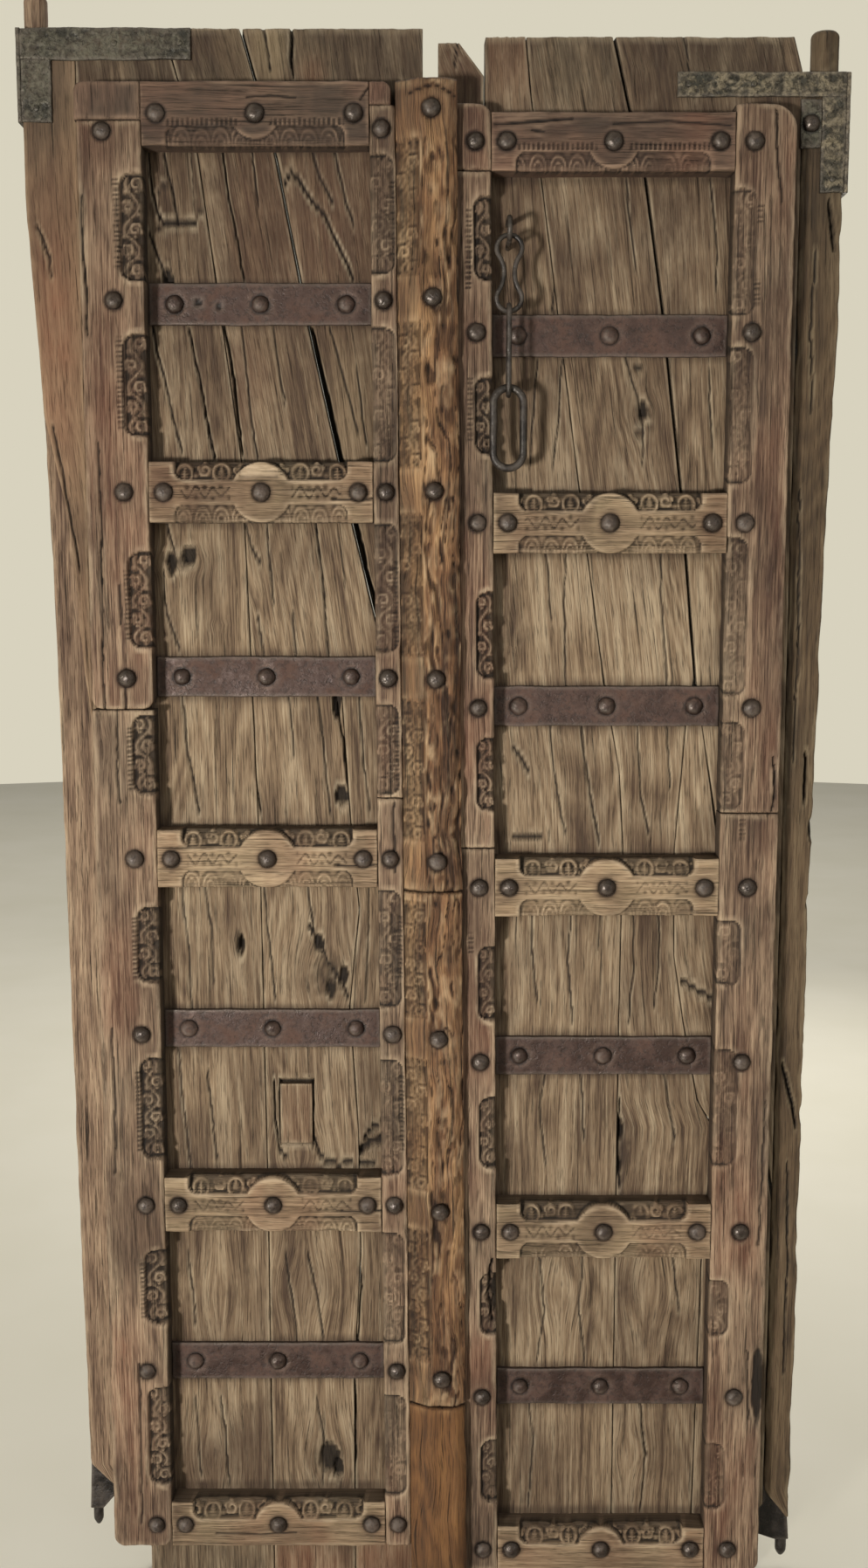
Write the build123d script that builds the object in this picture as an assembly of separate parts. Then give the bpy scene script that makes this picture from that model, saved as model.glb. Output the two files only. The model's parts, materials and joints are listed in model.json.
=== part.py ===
from build123d import *
import math
import os
from dataclasses import dataclass

# A worn double door: slanted planks, an applied carved frame, iron straps, studs and a hasp chain.
# X runs from the left leaf to the right leaf, Z up from the foot of the planks, Y from front to back.
# Depths are measured forwards from the front face of the planks. All sizes are in millimetres.

# Thicknesses
PLANK_THICK = 30.0
BOARD_THICK = 40.0
FACING_THICK = 10.0
FRAME_THICK = 36.0
STRAP_THICK = 6.0
IRON_THICK = 5.0
STRIP_DEPTH = 60.0
SEAT_GAP = 0.4

# Outer edges of the leaves, heights of the planks, and the gap where the leaves meet
EDGE_REACH = 514.0
LEFT_PLANK_TOP = 2066.0
RIGHT_PLANK_TOP = 2056.0
LEFT_PIVOT_WIDE = 68.0
RIGHT_PIVOT_WIDE = 54.0
LEFT_PLANK_END = LEFT_PIVOT_WIDE - EDGE_REACH
RIGHT_PLANK_END = EDGE_REACH - RIGHT_PIVOT_WIDE
MEETING_X = -14.0
MEETING_GAP = 19.0
MEETING_BOARD_WIDE = 57.0
MEETING_BOARD_LOWER = 7.0
MEETING_FLAT_WIDE = 26.0
MEETING_SPLIT_TALL = 39.0
PLANK_GAP = 4.0
PLANK_CUT_TALL = 105.0
LEFT_PLANK_CUT = 50.0
RIGHT_PLANK_CUT = 13.0

# Rows of studs, rails and straps: the bays between them are equal but for the first and the last
LEFT_BOTTOM_ROW = 97.0
LEFT_TOP_ROW = LEFT_PLANK_TOP - 110.0
RIGHT_BOTTOM_ROW = 60.0
RIGHT_TOP_ROW = RIGHT_PLANK_TOP - 133.0
BOTTOM_BAY_CUT = 12.0
LEFT_TOP_BAY_CUT = 12.0
RIGHT_TOP_BAY_CUT = 6.0
MIDDLE_ROWS = 7

# Stiles: the outer ones stand upright, the inner ones lean with the cover strip
LEFT_STILE_OUT = LEFT_PLANK_END + 6.0
LEFT_STILE_WIDE = 79.0
RIGHT_STILE_OUT = RIGHT_PLANK_END - 13.0
RIGHT_STILE_WIDE = 75.0
STILE_CORNER_R = 14.0
STILE_HEAD_R = 30.0
LEFT_INNER_HEAD_X = -80.0
LEFT_INNER_FOOT_X = -66.0
RIGHT_INNER_HEAD_X = 70.0
RIGHT_INNER_FOOT_X = 88.0
RIGHT_INNER_WIDE = 54.0
LEFT_STILE_FOOT = 65.0
RIGHT_STILE_FOOT = 28.0
RIGHT_STILE_HEAD = RIGHT_PLANK_TOP - 88.0
RIGHT_BLOCK_TALL = 79.0
LEFT_OUTER_JOINT = 1222.0
LEFT_INNER_JOINT = 1107.0
RIGHT_OUTER_JOINT = 1087.0
RIGHT_INNER_JOINT = 1041.0
STILE_JOINT_GAP = 1.0

# Cover strip over the meeting line
STRIP_TOP = LEFT_PLANK_TOP - 74.0
STRIP_HEAD_X = -48.0
STRIP_FOOT_X = -31.0
STRIP_WIDE = 76.0
STRIP_BODY_WIDE = 32.0
STRIP_FLANK_WIDE = 30.0
STRIP_FLANK_DROP = 17.0
STRIP_EDGE_WIDE = 14.0
STRIP_EDGE_DROP = 10.0
STRIP_CLEARANCE = 0.3
STRIP_UPPER_JOINT = 987.0
STRIP_LOWER_JOINT = 280.0

# Rails
RAIL_TALL = 76.0
RIGHT_TOP_RAIL_TALL = 70.0
BOTTOM_RAIL_TALL = 64.0
RAIL_MIDDLE_TALL = 30.0
BLOCK_WIDE = 34.0
BLOCK_CUT = 14.0
BOSS_SIDES = 12
CAP_TALL = 46.0
CAP_RETURN_TALL = 28.0
CAP_LAP_LEFT = 82.0
CAP_LAP_RIGHT = 27.0
CAP_R = 12.0
LEFT_OUTER_HEAD = LEFT_TOP_ROW + RAIL_TALL / 2 - CAP_TALL
LEFT_INNER_HEAD = LEFT_TOP_ROW + RAIL_TALL / 2 - CAP_RETURN_TALL

# Carving: sunk bands and pockets with pointed leaves standing in them
CARVE_DEEP = 13.0
RELIEF_TALL = 8.0
BAND_LEAVES = 3
LEAF_LONG = 18.0
LEAF_WIDE = 20.0
POCKET_WIDE = 27.0
INNER_POCKET_WIDE = 22.0
POCKET_ABOVE_ROW = 60.0
POCKET_BELOW_ROW = 48.0
POCKET_FROM_END = 20.0
POCKET_LEAVES = 4
POCKET_CUT = 14.0
FLANK_NOTCH_LONG = 24.0
FLANK_NOTCH_TALL = 20.0
FLANK_NOTCHES = 4

# Iron straps and studs
STRAP_TALL = 52.0
STUD_R = 12.0
STUD_TALL = 8.0
STUD_SLOPE_IN = 5.0
STUD_SLOPE_TALL = 6.0
STUD_SIDES = 6
RAIL_STUD_IN = 19.0
STRAP_STUD_IN = 33.0
LEFT_INNER_STUD_IN = 17.0
RIGHT_INNER_STUD_IN = 20.0
STRIP_STUD_IN = 44.0

# Hand-set distances of the studs from the outer edge of the outer stiles, from the foot up
LEFT_OUTER_STUDS = (59, 51, 54, 54, 50, 46, 48, 41, 31)
RIGHT_OUTER_STUDS = (43, 39, 36, 40, 38, 39, 53, 50, 52)

# Pivots: boards that taper to the foot, round wooden tenons above, forged shoes with spikes below
LEFT_TENON_X = 15.0 - EDGE_REACH
LEFT_TENON_R = 15.0
LEFT_TENON_TALL = 44.0
RIGHT_PIVOT_X = EDGE_REACH - 24.0
RIGHT_TENON_R = 18.0
RIGHT_TENON_TALL = 52.0
RIGHT_BOARD_TOP = RIGHT_PLANK_TOP - 42.0
LEFT_STRAIGHT_TALL = 198.0
LEFT_BOARD_TAPER = ((14.0, 1580.0), (21.0, 1308.0), (28.0, 596.0))
LEFT_FACING_TAPER = ((16.0, 1594.0), (44.0, 1460.0), (59.0, 1260.0))
LEFT_FACING_FOOT = 1200.0
RIGHT_BOARD_TAPER = ((2.0, 1700.0), (12.0, 1300.0), (17.0, 900.0))
LEFT_BOARD_FOOT = ((34.0, 160.0), (68.0, 123.0))
RIGHT_BOARD_FOOT = ((18.0, 83.0), (54.0, 125.0))
LEFT_SPIKE_X = 40.0 - EDGE_REACH
LEFT_SPIKE_R = 7.0
LEFT_SPIKE_FOOT = 62.0
LEFT_SHOE_FOOT = 90.0
RIGHT_SPIKE_R = 8.0
RIGHT_SPIKE_FOOT = 18.0
RIGHT_SHOE_FOOT = 46.0
SPIKE_POINT_TALL = 8.0
SPIKE_POINT_R = 3.0
SHOE_THICK = 20.0

# Corner irons and the wedge plate beside the right one
LEFT_ARM_LONG = 212.0
LEFT_ARM_WIDE = 38.0
LEFT_DROP_LONG = 112.0
LEFT_DROP_WIDE = 38.0
RIGHT_ARM_LONG = 211.0
RIGHT_ARM_WIDE = 30.0
RIGHT_DROP_LONG = 145.0
RIGHT_DROP_WIDE = 30.0
IRON_WRAP = 28.0
PLATE_WIDE = 26.0
PLATE_TALL = 62.0
PLATE_TOP = RIGHT_BOARD_TOP - 31.0

# Square patch let into the left leaf
PATCH_WIDE = 44.0
PATCH_TALL = 84.0
PATCH_THICK = 10.0
PATCH_X = -186.0
PATCH_Z = 671.0

# Hasp chain
CHAIN_X = 93.0
CHAIN_DEPTH = 47.0
STAPLE_Z = RIGHT_PLANK_TOP - 240.0
STAPLE_R = 14.0
STAPLE_BAR = 7.0
STAPLE_IN_WOOD = 20.0
STAPLE_HOLE_GAP = 0.2
EIGHT_BAR = 6.6
EIGHT_R = 15.7
EIGHT_REACH = 30.0
EIGHT_WAIST = 6.5
LONG_BAR = 7.0
LONG_SPAN = 90.0
RING_BAR = 10.4
RING_WIDE = 48.0
RING_TALL = 109.0
LINK_GAP = 0.45
BAR_SIDES = 8
BEND_FLATS = 6
WAIST_FLATS = 2

FACE_Y = (STRIP_DEPTH + STUD_TALL - BOARD_THICK) / 2
SHAPES = {}


@dataclass
class Leaf:
    """The heights that differ between the two leaves."""

    name: str
    bottom_row: float
    top_row: float
    top_bay_cut: float

    def middle_rows(self):
        """Heights of the middle rows from the foot up: straps and rails by turns."""
        pitch = (self.top_row - self.bottom_row + BOTTOM_BAY_CUT + self.top_bay_cut) / (MIDDLE_ROWS + 1)
        first = self.bottom_row + pitch - BOTTOM_BAY_CUT
        return [first + pitch * number for number in range(MIDDLE_ROWS)]

    def all_rows(self):
        """Heights of all stud rows from the foot up."""
        return [self.bottom_row] + self.middle_rows() + [self.top_row]

    def strap_rows(self):
        """Heights of the iron straps from the top down."""
        return self.middle_rows()[::-2]

    def rail_rows(self):
        """Heights of the carved middle rails from the top down."""
        return self.middle_rows()[-2::-2]


LEFT = Leaf("left", LEFT_BOTTOM_ROW, LEFT_TOP_ROW, LEFT_TOP_BAY_CUT)
RIGHT = Leaf("right", RIGHT_BOTTOM_ROW, RIGHT_TOP_ROW, RIGHT_TOP_BAY_CUT)


def leaning(head_x, foot_x, z):
    """Place at height z of an edge that leans from foot_x at the foot to head_x at the strip's top."""
    return foot_x + (head_x - foot_x) * z / STRIP_TOP


def field_left(leaf, z):
    """Left end, at height z, of the field between a leaf's stiles."""
    if leaf is LEFT:
        return LEFT_STILE_OUT + LEFT_STILE_WIDE
    return leaning(RIGHT_INNER_HEAD_X, RIGHT_INNER_FOOT_X, z)


def field_right(leaf, z):
    """Right end, at height z, of the field between a leaf's stiles."""
    if leaf is LEFT:
        return leaning(LEFT_INNER_HEAD_X, LEFT_INNER_FOOT_X, z)
    return RIGHT_STILE_OUT - RIGHT_STILE_WIDE


def outline(points):
    """A flat face through points given as (x, z)."""
    return make_face(Polyline(*points, close=True))


def box_outline(x_low, x_high, z_low, z_high):
    """An upright rectangle."""
    return outline([(x_low, z_low), (x_high, z_low), (x_high, z_high), (x_low, z_high)])


def rounded(face, corners, radius):
    """The face with its vertices nearest the given corners rounded."""
    chosen = []
    for x, z in corners:
        chosen.append(min(face.vertices(), key=lambda vertex: math.hypot(vertex.X - x, vertex.Y - z)))
    return fillet(chosen, radius)


def slab(face, back, front):
    """The face made solid between two depths."""
    return extrude(Plane.XZ.offset(back - FACE_Y) * face, front - back)


def leaf_shape(x, z, turn, long, wide):
    """One pointed carved leaf on its root at (x, z), turned from pointing up."""
    return Pos(x, z) * Rot(0, 0, turn) * outline([(-wide / 2, 0), (0, long), (wide / 2, 0)])


def clipped(face, corners, size):
    """The face with its vertices nearest the given corners cut off."""
    chosen = []
    for x, z in corners:
        chosen.append(min(face.vertices(), key=lambda vertex: math.hypot(vertex.X - x, vertex.Y - z)))
    return chamfer(chosen, size)


def carved(body, pocket, leaves):
    """The body with a pocket sunk in its face and leaves standing in the pocket."""
    floor = FRAME_THICK - CARVE_DEEP
    body -= slab(pocket, floor, FRAME_THICK)
    standing = pocket & (Sketch() + leaves)
    return body + slab(standing, floor, floor + RELIEF_TALL)


def stud(x, z, depth):
    """A forged stud head with hammered slopes round a flat crown, seated at a depth."""
    head = extrude(Plane.XZ.offset(depth - FACE_Y) * Pos(x, z) * RegularPolygon(STUD_R, STUD_SIDES), STUD_TALL)
    crown = head.faces().sort_by(Axis.Y)[0]
    return chamfer(crown.edges(), STUD_SLOPE_IN, STUD_SLOPE_TALL, reference=crown)


def keep(name, shape):
    """Stores a finished piece under its name."""
    SHAPES[name] = shape


def carved_rail(leaf, z_low, z_high, row, sides):
    """A rail with a round boss and two end blocks, sunk leaf bands between them on the given sides."""
    ends = [
        (field_left(leaf, z_low) + SEAT_GAP, z_low),
        (field_right(leaf, z_low) - SEAT_GAP, z_low),
        (field_right(leaf, z_high) - SEAT_GAP, z_high),
        (field_left(leaf, z_high) + SEAT_GAP, z_high),
    ]
    body = slab(outline(ends), 0, FRAME_THICK)
    first = field_left(leaf, row) + BLOCK_WIDE
    last = field_right(leaf, row) - BLOCK_WIDE
    middle = (first + last) / 2
    boss = Pos(middle, row) * RegularPolygon(RAIL_TALL / 2, BOSS_SIDES)
    for side in sides:
        inner = row + side * RAIL_MIDDLE_TALL / 2
        outer = z_high if side > 0 else z_low
        band = box_outline(first, last, min(inner, outer), max(inner, outer))
        band = clipped(band, [(first, inner), (last, inner)], BLOCK_CUT) - boss
        half_boss = math.sqrt((RAIL_TALL / 2) ** 2 - (RAIL_MIDDLE_TALL / 2) ** 2)
        run = middle - half_boss - first - BLOCK_CUT
        leaves = []
        for number in range(BAND_LEAVES):
            reach = half_boss + run * (number + 0.5) / BAND_LEAVES
            for x in (middle - reach, middle + reach):
                leaves.append(leaf_shape(x, inner, 90 - 90 * side, LEAF_LONG, LEAF_WIDE))
        body = carved(body, band, leaves)
    return body


def carved_stile(body, leaf, edge_at, inward, wide, z_low, z_high):
    """A stile with sunk pockets along the edge that faces the field, leaves pointing at that edge."""
    rows = leaf.all_rows()
    for low, high in zip(rows, rows[1:]):
        start = max(low + POCKET_ABOVE_ROW, z_low + POCKET_FROM_END)
        end = min(high - POCKET_BELOW_ROW, z_high - POCKET_FROM_END)
        if end - start < 2 * POCKET_CUT + LEAF_WIDE:
            continue
        edge = edge_at((start + end) / 2)
        root, beyond = edge + inward * wide, edge - inward * wide
        pocket = box_outline(min(root, beyond), max(root, beyond), start, end)
        pocket = clipped(pocket, [(root, start), (root, end)], POCKET_CUT)
        full = high - low - POCKET_ABOVE_ROW - POCKET_BELOW_ROW
        count = max(2, round(POCKET_LEAVES * (end - start) / full))
        pitch = (end - start - 2 * POCKET_CUT) / count
        leaves = []
        for number in range(count):
            z = start + POCKET_CUT + pitch * (number + 0.5)
            leaves.append(leaf_shape(root, z, 90 * inward, 0.8 * wide, 0.95 * pitch))
        body = carved(body, pocket, leaves)
    return body


def outer_stile(leaf, z_low, z_high, round_corners, radius):
    """One length of an outer stile, with the named corners rounded."""
    outer_x = LEFT_STILE_OUT if leaf is LEFT else RIGHT_STILE_OUT
    field_x = field_left(LEFT, z_low) if leaf is LEFT else field_right(RIGHT, z_low)
    inward = -1 if leaf is LEFT else 1
    face = box_outline(min(outer_x, field_x), max(outer_x, field_x), z_low, z_high)
    places = {
        "outer foot": (outer_x, z_low),
        "field foot": (field_x, z_low),
        "outer head": (outer_x, z_high),
    }
    face = rounded(face, [places[corner] for corner in round_corners], radius)
    wide = POCKET_WIDE
    return carved_stile(slab(face, 0, FRAME_THICK), leaf, lambda z: field_x, inward, wide, z_low, z_high)


def inner_outline(leaf, z_low, z_high):
    """Outline of a length of an inner stile, leaning with the cover strip."""
    if leaf is LEFT:
        low = (field_right(LEFT, z_low), leaning(STRIP_HEAD_X, STRIP_FOOT_X, z_low))
        high = (field_right(LEFT, z_high), leaning(STRIP_HEAD_X, STRIP_FOOT_X, z_high))
    else:
        right_low, right_high = field_left(RIGHT, z_low), field_left(RIGHT, z_high)
        low = (right_low - RIGHT_INNER_WIDE, right_low)
        high = (right_high - RIGHT_INNER_WIDE, right_high)
    return outline([(low[0], z_low), (low[1], z_low), (high[1], z_high), (high[0], z_high)])


def inner_stile(leaf, z_low, z_high):
    """One length of an inner stile, carved along the edge that faces the field."""
    body = slab(inner_outline(leaf, z_low, z_high), 0, FRAME_THICK)
    if leaf is LEFT:
        return carved_stile(body, leaf, lambda z: field_right(leaf, z), 1, INNER_POCKET_WIDE, z_low, z_high)
    return carved_stile(body, leaf, lambda z: field_left(leaf, z), -1, INNER_POCKET_WIDE, z_low, z_high)


def along(line, offset):
    """A joint line moved sideways."""
    return [(x + offset, z) for x, z in line]


def above(line, height):
    """The part of a joint line, given from the top down, that lies above a height."""
    return [(x, z) for x, z in line if z >= height]


def plank(left_line, right_line):
    """A plank between two edges, both given from the top down."""
    return slab(outline(left_line + right_line[::-1]), -PLANK_THICK, 0)


# Joint lines between the slanted planks, from the top down
LEFT_TURN = LEFT.strap_rows()[1]
RIGHT_TURN = RIGHT.strap_rows()[1]
LEFT_OUTER_LINE = [
    (-336.0, LEFT_PLANK_TOP), (-297.0, 1924.0), (-268.0, 1703.0), (-247.0, 1542.0),
    (-237.0, 1238.0), (-230.0, 1003.0), (-226.0, 596.0), (-224.0, 0.0),
]
LEFT_WEDGE_LINE = [
    (-240.0, LEFT_PLANK_TOP), (-200.0, 1924.0), (-158.0, 1703.0), (-105.0, 1461.0), (-71.0, 1319.0),
    (-58.0, LEFT_TURN),
]
LEFT_LOWER_LINE = [
    (-122.0, LEFT_TURN), (-110.0, 1072.0), (-99.0, 952.0), (-113.0, 820.0), (-102.0, 647.0),
    (-100.0, 474.0), (-110.0, 294.0), (-110.0, 0.0),
]
RIGHT_INNER_LINE = [
    (114.0, RIGHT_PLANK_TOP), (122.0, 1980.0), (198.0, 1422.0), (222.0, 1255.0), (244.0, 1136.0),
    (250.0, 1034.0), (248.0, 800.0), (248.0, 0.0),
]
RIGHT_OUTER_LINE = [
    (224.0, RIGHT_PLANK_TOP), (243.0, 1975.0), (264.0, 1898.0), (290.0, 1726.0), (317.0, 1507.0),
    (341.0, 1258.0), (345.0, RIGHT_TURN), (378.0, 1034.0), (RIGHT_PLANK_END, 560.0),
]
RIGHT_LOWER_LINE = [
    (332.0, RIGHT_TURN), (318.0, 1034.0), (320.0, 891.0), (334.0, 800.0), (356.0, 688.0),
    (378.0, 652.0), (366.0, 459.0), (358.0, 0.0),
]


def build_left_planks():
    """The left leaf's four planks and the patch let into the middle one."""
    half = PLANK_GAP / 2
    foot_x = LEFT_PLANK_END + LEFT_PLANK_CUT
    outer_edge = [
        (LEFT_PLANK_END, LEFT_PLANK_TOP), (LEFT_PLANK_END, PLANK_CUT_TALL),
        (foot_x, PLANK_CUT_TALL - LEFT_PLANK_CUT), (foot_x, 0.0),
    ]
    keep("left_plank_outer", plank(outer_edge, along(LEFT_OUTER_LINE, -half)))
    middle = plank(
        along(LEFT_OUTER_LINE, half), along(LEFT_WEDGE_LINE, -half) + along(LEFT_LOWER_LINE, -half))
    patch = Pos(PATCH_X, PATCH_Z) * Rectangle(PATCH_WIDE, PATCH_TALL)
    keep("left_plank_middle", middle - slab(patch, -PATCH_THICK, 0))
    keep("left_plank_patch", slab(offset(patch, -SEAT_GAP), -PATCH_THICK, 0))
    keep("left_plank_wedge", plank(
        along(LEFT_WEDGE_LINE, half), [(MEETING_X, LEFT_PLANK_TOP), (MEETING_X, LEFT_TURN)]))
    lower = [(x, min(z, LEFT_TURN - SEAT_GAP)) for x, z in LEFT_LOWER_LINE]
    keep("left_plank_lower", plank(
        along(lower, half), [(MEETING_X, LEFT_TURN - SEAT_GAP), (MEETING_X, 0.0)]))


def build_right_planks():
    """The right leaf's meeting board, its four planks and the holes for the staple."""
    half = PLANK_GAP / 2
    meeting_left = MEETING_X + MEETING_GAP
    meeting_right = meeting_left + MEETING_BOARD_WIDE
    board_top = RIGHT_PLANK_TOP - MEETING_BOARD_LOWER
    keep("right_meeting_board", plank(
        [(meeting_left, board_top), (meeting_left, 0.0)],
        [(meeting_left + MEETING_FLAT_WIDE, board_top), (meeting_right, board_top - MEETING_SPLIT_TALL),
         (meeting_right, 0.0)]))
    inner = plank(
        [(meeting_right + half, RIGHT_PLANK_TOP), (meeting_right + half, 0.0)], along(RIGHT_INNER_LINE, -half))
    for z in (STAPLE_Z - STAPLE_R, STAPLE_Z + STAPLE_R):
        hole_r = STAPLE_BAR / 2 + STAPLE_HOLE_GAP
        turned = Pos(CHAIN_X, z) * Rot(0, 0, 180 / BAR_SIDES)
        hole = turned * RegularPolygon(hole_r, BAR_SIDES, major_radius=False)
        inner -= slab(hole, -STAPLE_IN_WOOD, 0)
    keep("right_plank_inner", inner)
    keep("right_plank_middle", plank(
        along(RIGHT_INNER_LINE, half),
        along(above(RIGHT_OUTER_LINE, RIGHT_TURN), -half) + along(RIGHT_LOWER_LINE, -half)))
    keep("right_plank_outer", plank(
        along(RIGHT_OUTER_LINE, half)[:-1] + [(RIGHT_PLANK_END, RIGHT_OUTER_LINE[-1][1] + 12)],
        [(RIGHT_PLANK_END - 12, RIGHT_PLANK_TOP), (RIGHT_PLANK_END, RIGHT_BOARD_TOP),
         (RIGHT_PLANK_END, RIGHT_OUTER_LINE[-1][1] + 13)]))
    wedge_right = [(x, z) for x, z in RIGHT_OUTER_LINE if z <= RIGHT_TURN]
    keep("right_plank_lower", plank(
        along(RIGHT_LOWER_LINE, half),
        along(wedge_right, -half)[:-1] + [
            (RIGHT_PLANK_END, RIGHT_OUTER_LINE[-1][1] - 12), (RIGHT_PLANK_END, PLANK_CUT_TALL),
            (RIGHT_PLANK_END - RIGHT_PLANK_CUT, PLANK_CUT_TALL - RIGHT_PLANK_CUT),
            (RIGHT_PLANK_END - RIGHT_PLANK_CUT, 0.0),
        ]))


def spike(x, depth, radius, foot, top):
    """A round spike that ends in a blunt forged point."""
    shaft = Pos(x, FACE_Y - depth, (foot + top) / 2) * Cylinder(radius, top - foot)
    point = shaft.faces().sort_by(Axis.Z)[0]
    return chamfer(point.edges(), radius - SPIKE_POINT_R, SPIKE_POINT_TALL, reference=point)


def build_left_pivot():
    """The left leaf's pivot board with its tenon, the facing on it, and the shoe with its spike."""
    foot_out, foot_in = [(inset - EDGE_REACH, z) for inset, z in LEFT_BOARD_FOOT]
    straight = [(-EDGE_REACH, LEFT_PLANK_TOP), (-EDGE_REACH, LEFT_PLANK_TOP - LEFT_STRAIGHT_TALL)]
    taper = [(inset - EDGE_REACH, z) for inset, z in LEFT_BOARD_TAPER]
    board = outline(straight + taper + [foot_out, foot_in, (LEFT_PLANK_END, LEFT_PLANK_TOP)])
    middle = (BOARD_THICK + FACING_THICK) / 2
    seat = Plane.XY.offset(LEFT_PLANK_TOP) * Pos(LEFT_TENON_X, FACE_Y + middle)
    tenon = extrude(seat * Circle(LEFT_TENON_R), LEFT_TENON_TALL)
    keep("left_pivot_board", slab(board, -BOARD_THICK, -FACING_THICK) + tenon)
    taper = [(inset - EDGE_REACH, z) for inset, z in LEFT_FACING_TAPER]
    inner_edge = [(LEFT_PLANK_END, LEFT_FACING_FOOT), (LEFT_PLANK_END, LEFT_PLANK_TOP)]
    keep("left_edge_facing", slab(outline(straight + taper + inner_edge), -FACING_THICK, 0))
    shoe = outline([
        foot_out, (LEFT_SPIKE_X - 9, LEFT_SHOE_FOOT), (LEFT_SPIKE_X + 9, LEFT_SHOE_FOOT),
        (LEFT_PLANK_END - SEAT_GAP, 112.0), foot_in,
    ])
    plate = slab(shoe, -middle - SHOE_THICK / 2, -middle + SHOE_THICK / 2)
    keep("left_bottom_shoe", plate + spike(
        LEFT_SPIKE_X, -middle, LEFT_SPIKE_R, LEFT_SPIKE_FOOT, LEFT_SHOE_FOOT))


def build_right_pivot():
    """The right leaf's pivot board with its tenon, and the shoe with its spike."""
    foot_out, foot_in = [(EDGE_REACH - inset, z) for inset, z in RIGHT_BOARD_FOOT]
    taper = [(EDGE_REACH - inset, z) for inset, z in RIGHT_BOARD_TAPER]
    head = [(RIGHT_PLANK_END, RIGHT_BOARD_TOP), (EDGE_REACH, RIGHT_BOARD_TOP)]
    board = outline(head + taper + [foot_out, foot_in])
    middle = BOARD_THICK / 2
    seat = Plane.XY.offset(RIGHT_BOARD_TOP) * Pos(RIGHT_PIVOT_X, FACE_Y + middle)
    tenon = extrude(seat * Circle(RIGHT_TENON_R), RIGHT_TENON_TALL)
    keep("right_pivot_board", slab(board, -BOARD_THICK, 0) + tenon)
    shoe = outline([
        foot_in, (RIGHT_PLANK_END + SEAT_GAP, PLANK_CUT_TALL - 1), (RIGHT_PLANK_END - 9, PLANK_CUT_TALL - 14),
        (RIGHT_PLANK_END - 9, 56.0), (RIGHT_PIVOT_X - 10, RIGHT_SHOE_FOOT),
        (RIGHT_PIVOT_X + 9, RIGHT_SHOE_FOOT), foot_out,
    ])
    plate = slab(shoe, -middle - SHOE_THICK / 2, -middle + SHOE_THICK / 2)
    keep("right_bottom_shoe", plate + spike(
        RIGHT_PIVOT_X, -middle, RIGHT_SPIKE_R, RIGHT_SPIKE_FOOT, RIGHT_SHOE_FOOT))


def corner_iron(side, top, arm, drop, wraps):
    """A forged corner strap: an arm along the head, a drop down the edge and a return round the edge."""
    (arm_long, arm_wide), (drop_long, drop_wide) = arm, drop
    edge = side * EDGE_REACH
    face = outline([
        (edge, top), (edge - side * arm_long, top), (edge - side * arm_long, top - arm_wide),
        (edge - side * drop_wide, top - arm_wide), (edge - side * drop_wide, top - drop_long),
        (edge, top - drop_long),
    ])
    low, high = min(edge, edge + side * IRON_THICK), max(edge, edge + side * IRON_THICK)
    wrap = slab(box_outline(low, high, top - drop_long, top), -wraps, IRON_THICK)
    return slab(face, 0, IRON_THICK) + wrap


def build_irons():
    """Corner irons, the wedge plate and the four flat straps of each leaf."""
    keep("left_corner_iron", corner_iron(
        -1, LEFT_PLANK_TOP, (LEFT_ARM_LONG, LEFT_ARM_WIDE), (LEFT_DROP_LONG, LEFT_DROP_WIDE), IRON_WRAP))
    keep("right_corner_iron", corner_iron(
        1, RIGHT_BOARD_TOP, (RIGHT_ARM_LONG, RIGHT_ARM_WIDE), (RIGHT_DROP_LONG, RIGHT_DROP_WIDE), IRON_WRAP))
    plate_right = EDGE_REACH - RIGHT_DROP_WIDE - SEAT_GAP
    keep("right_corner_plate", slab(outline([
        (plate_right - PLATE_WIDE, PLATE_TOP - 16), (plate_right, PLATE_TOP),
        (plate_right, PLATE_TOP - PLATE_TALL), (plate_right - PLATE_WIDE, PLATE_TOP - 40),
    ]), 0, IRON_THICK))
    for leaf in (LEFT, RIGHT):
        for number, row in enumerate(leaf.strap_rows(), 1):
            low, high = row - STRAP_TALL / 2, row + STRAP_TALL / 2
            face = outline([
                (field_left(leaf, low) + SEAT_GAP, low), (field_right(leaf, low) - SEAT_GAP, low),
                (field_right(leaf, high) - SEAT_GAP, high), (field_left(leaf, high) + SEAT_GAP, high),
            ])
            keep(f"{leaf.name}_strap_{number}", slab(face, 0, STRAP_THICK))


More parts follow.
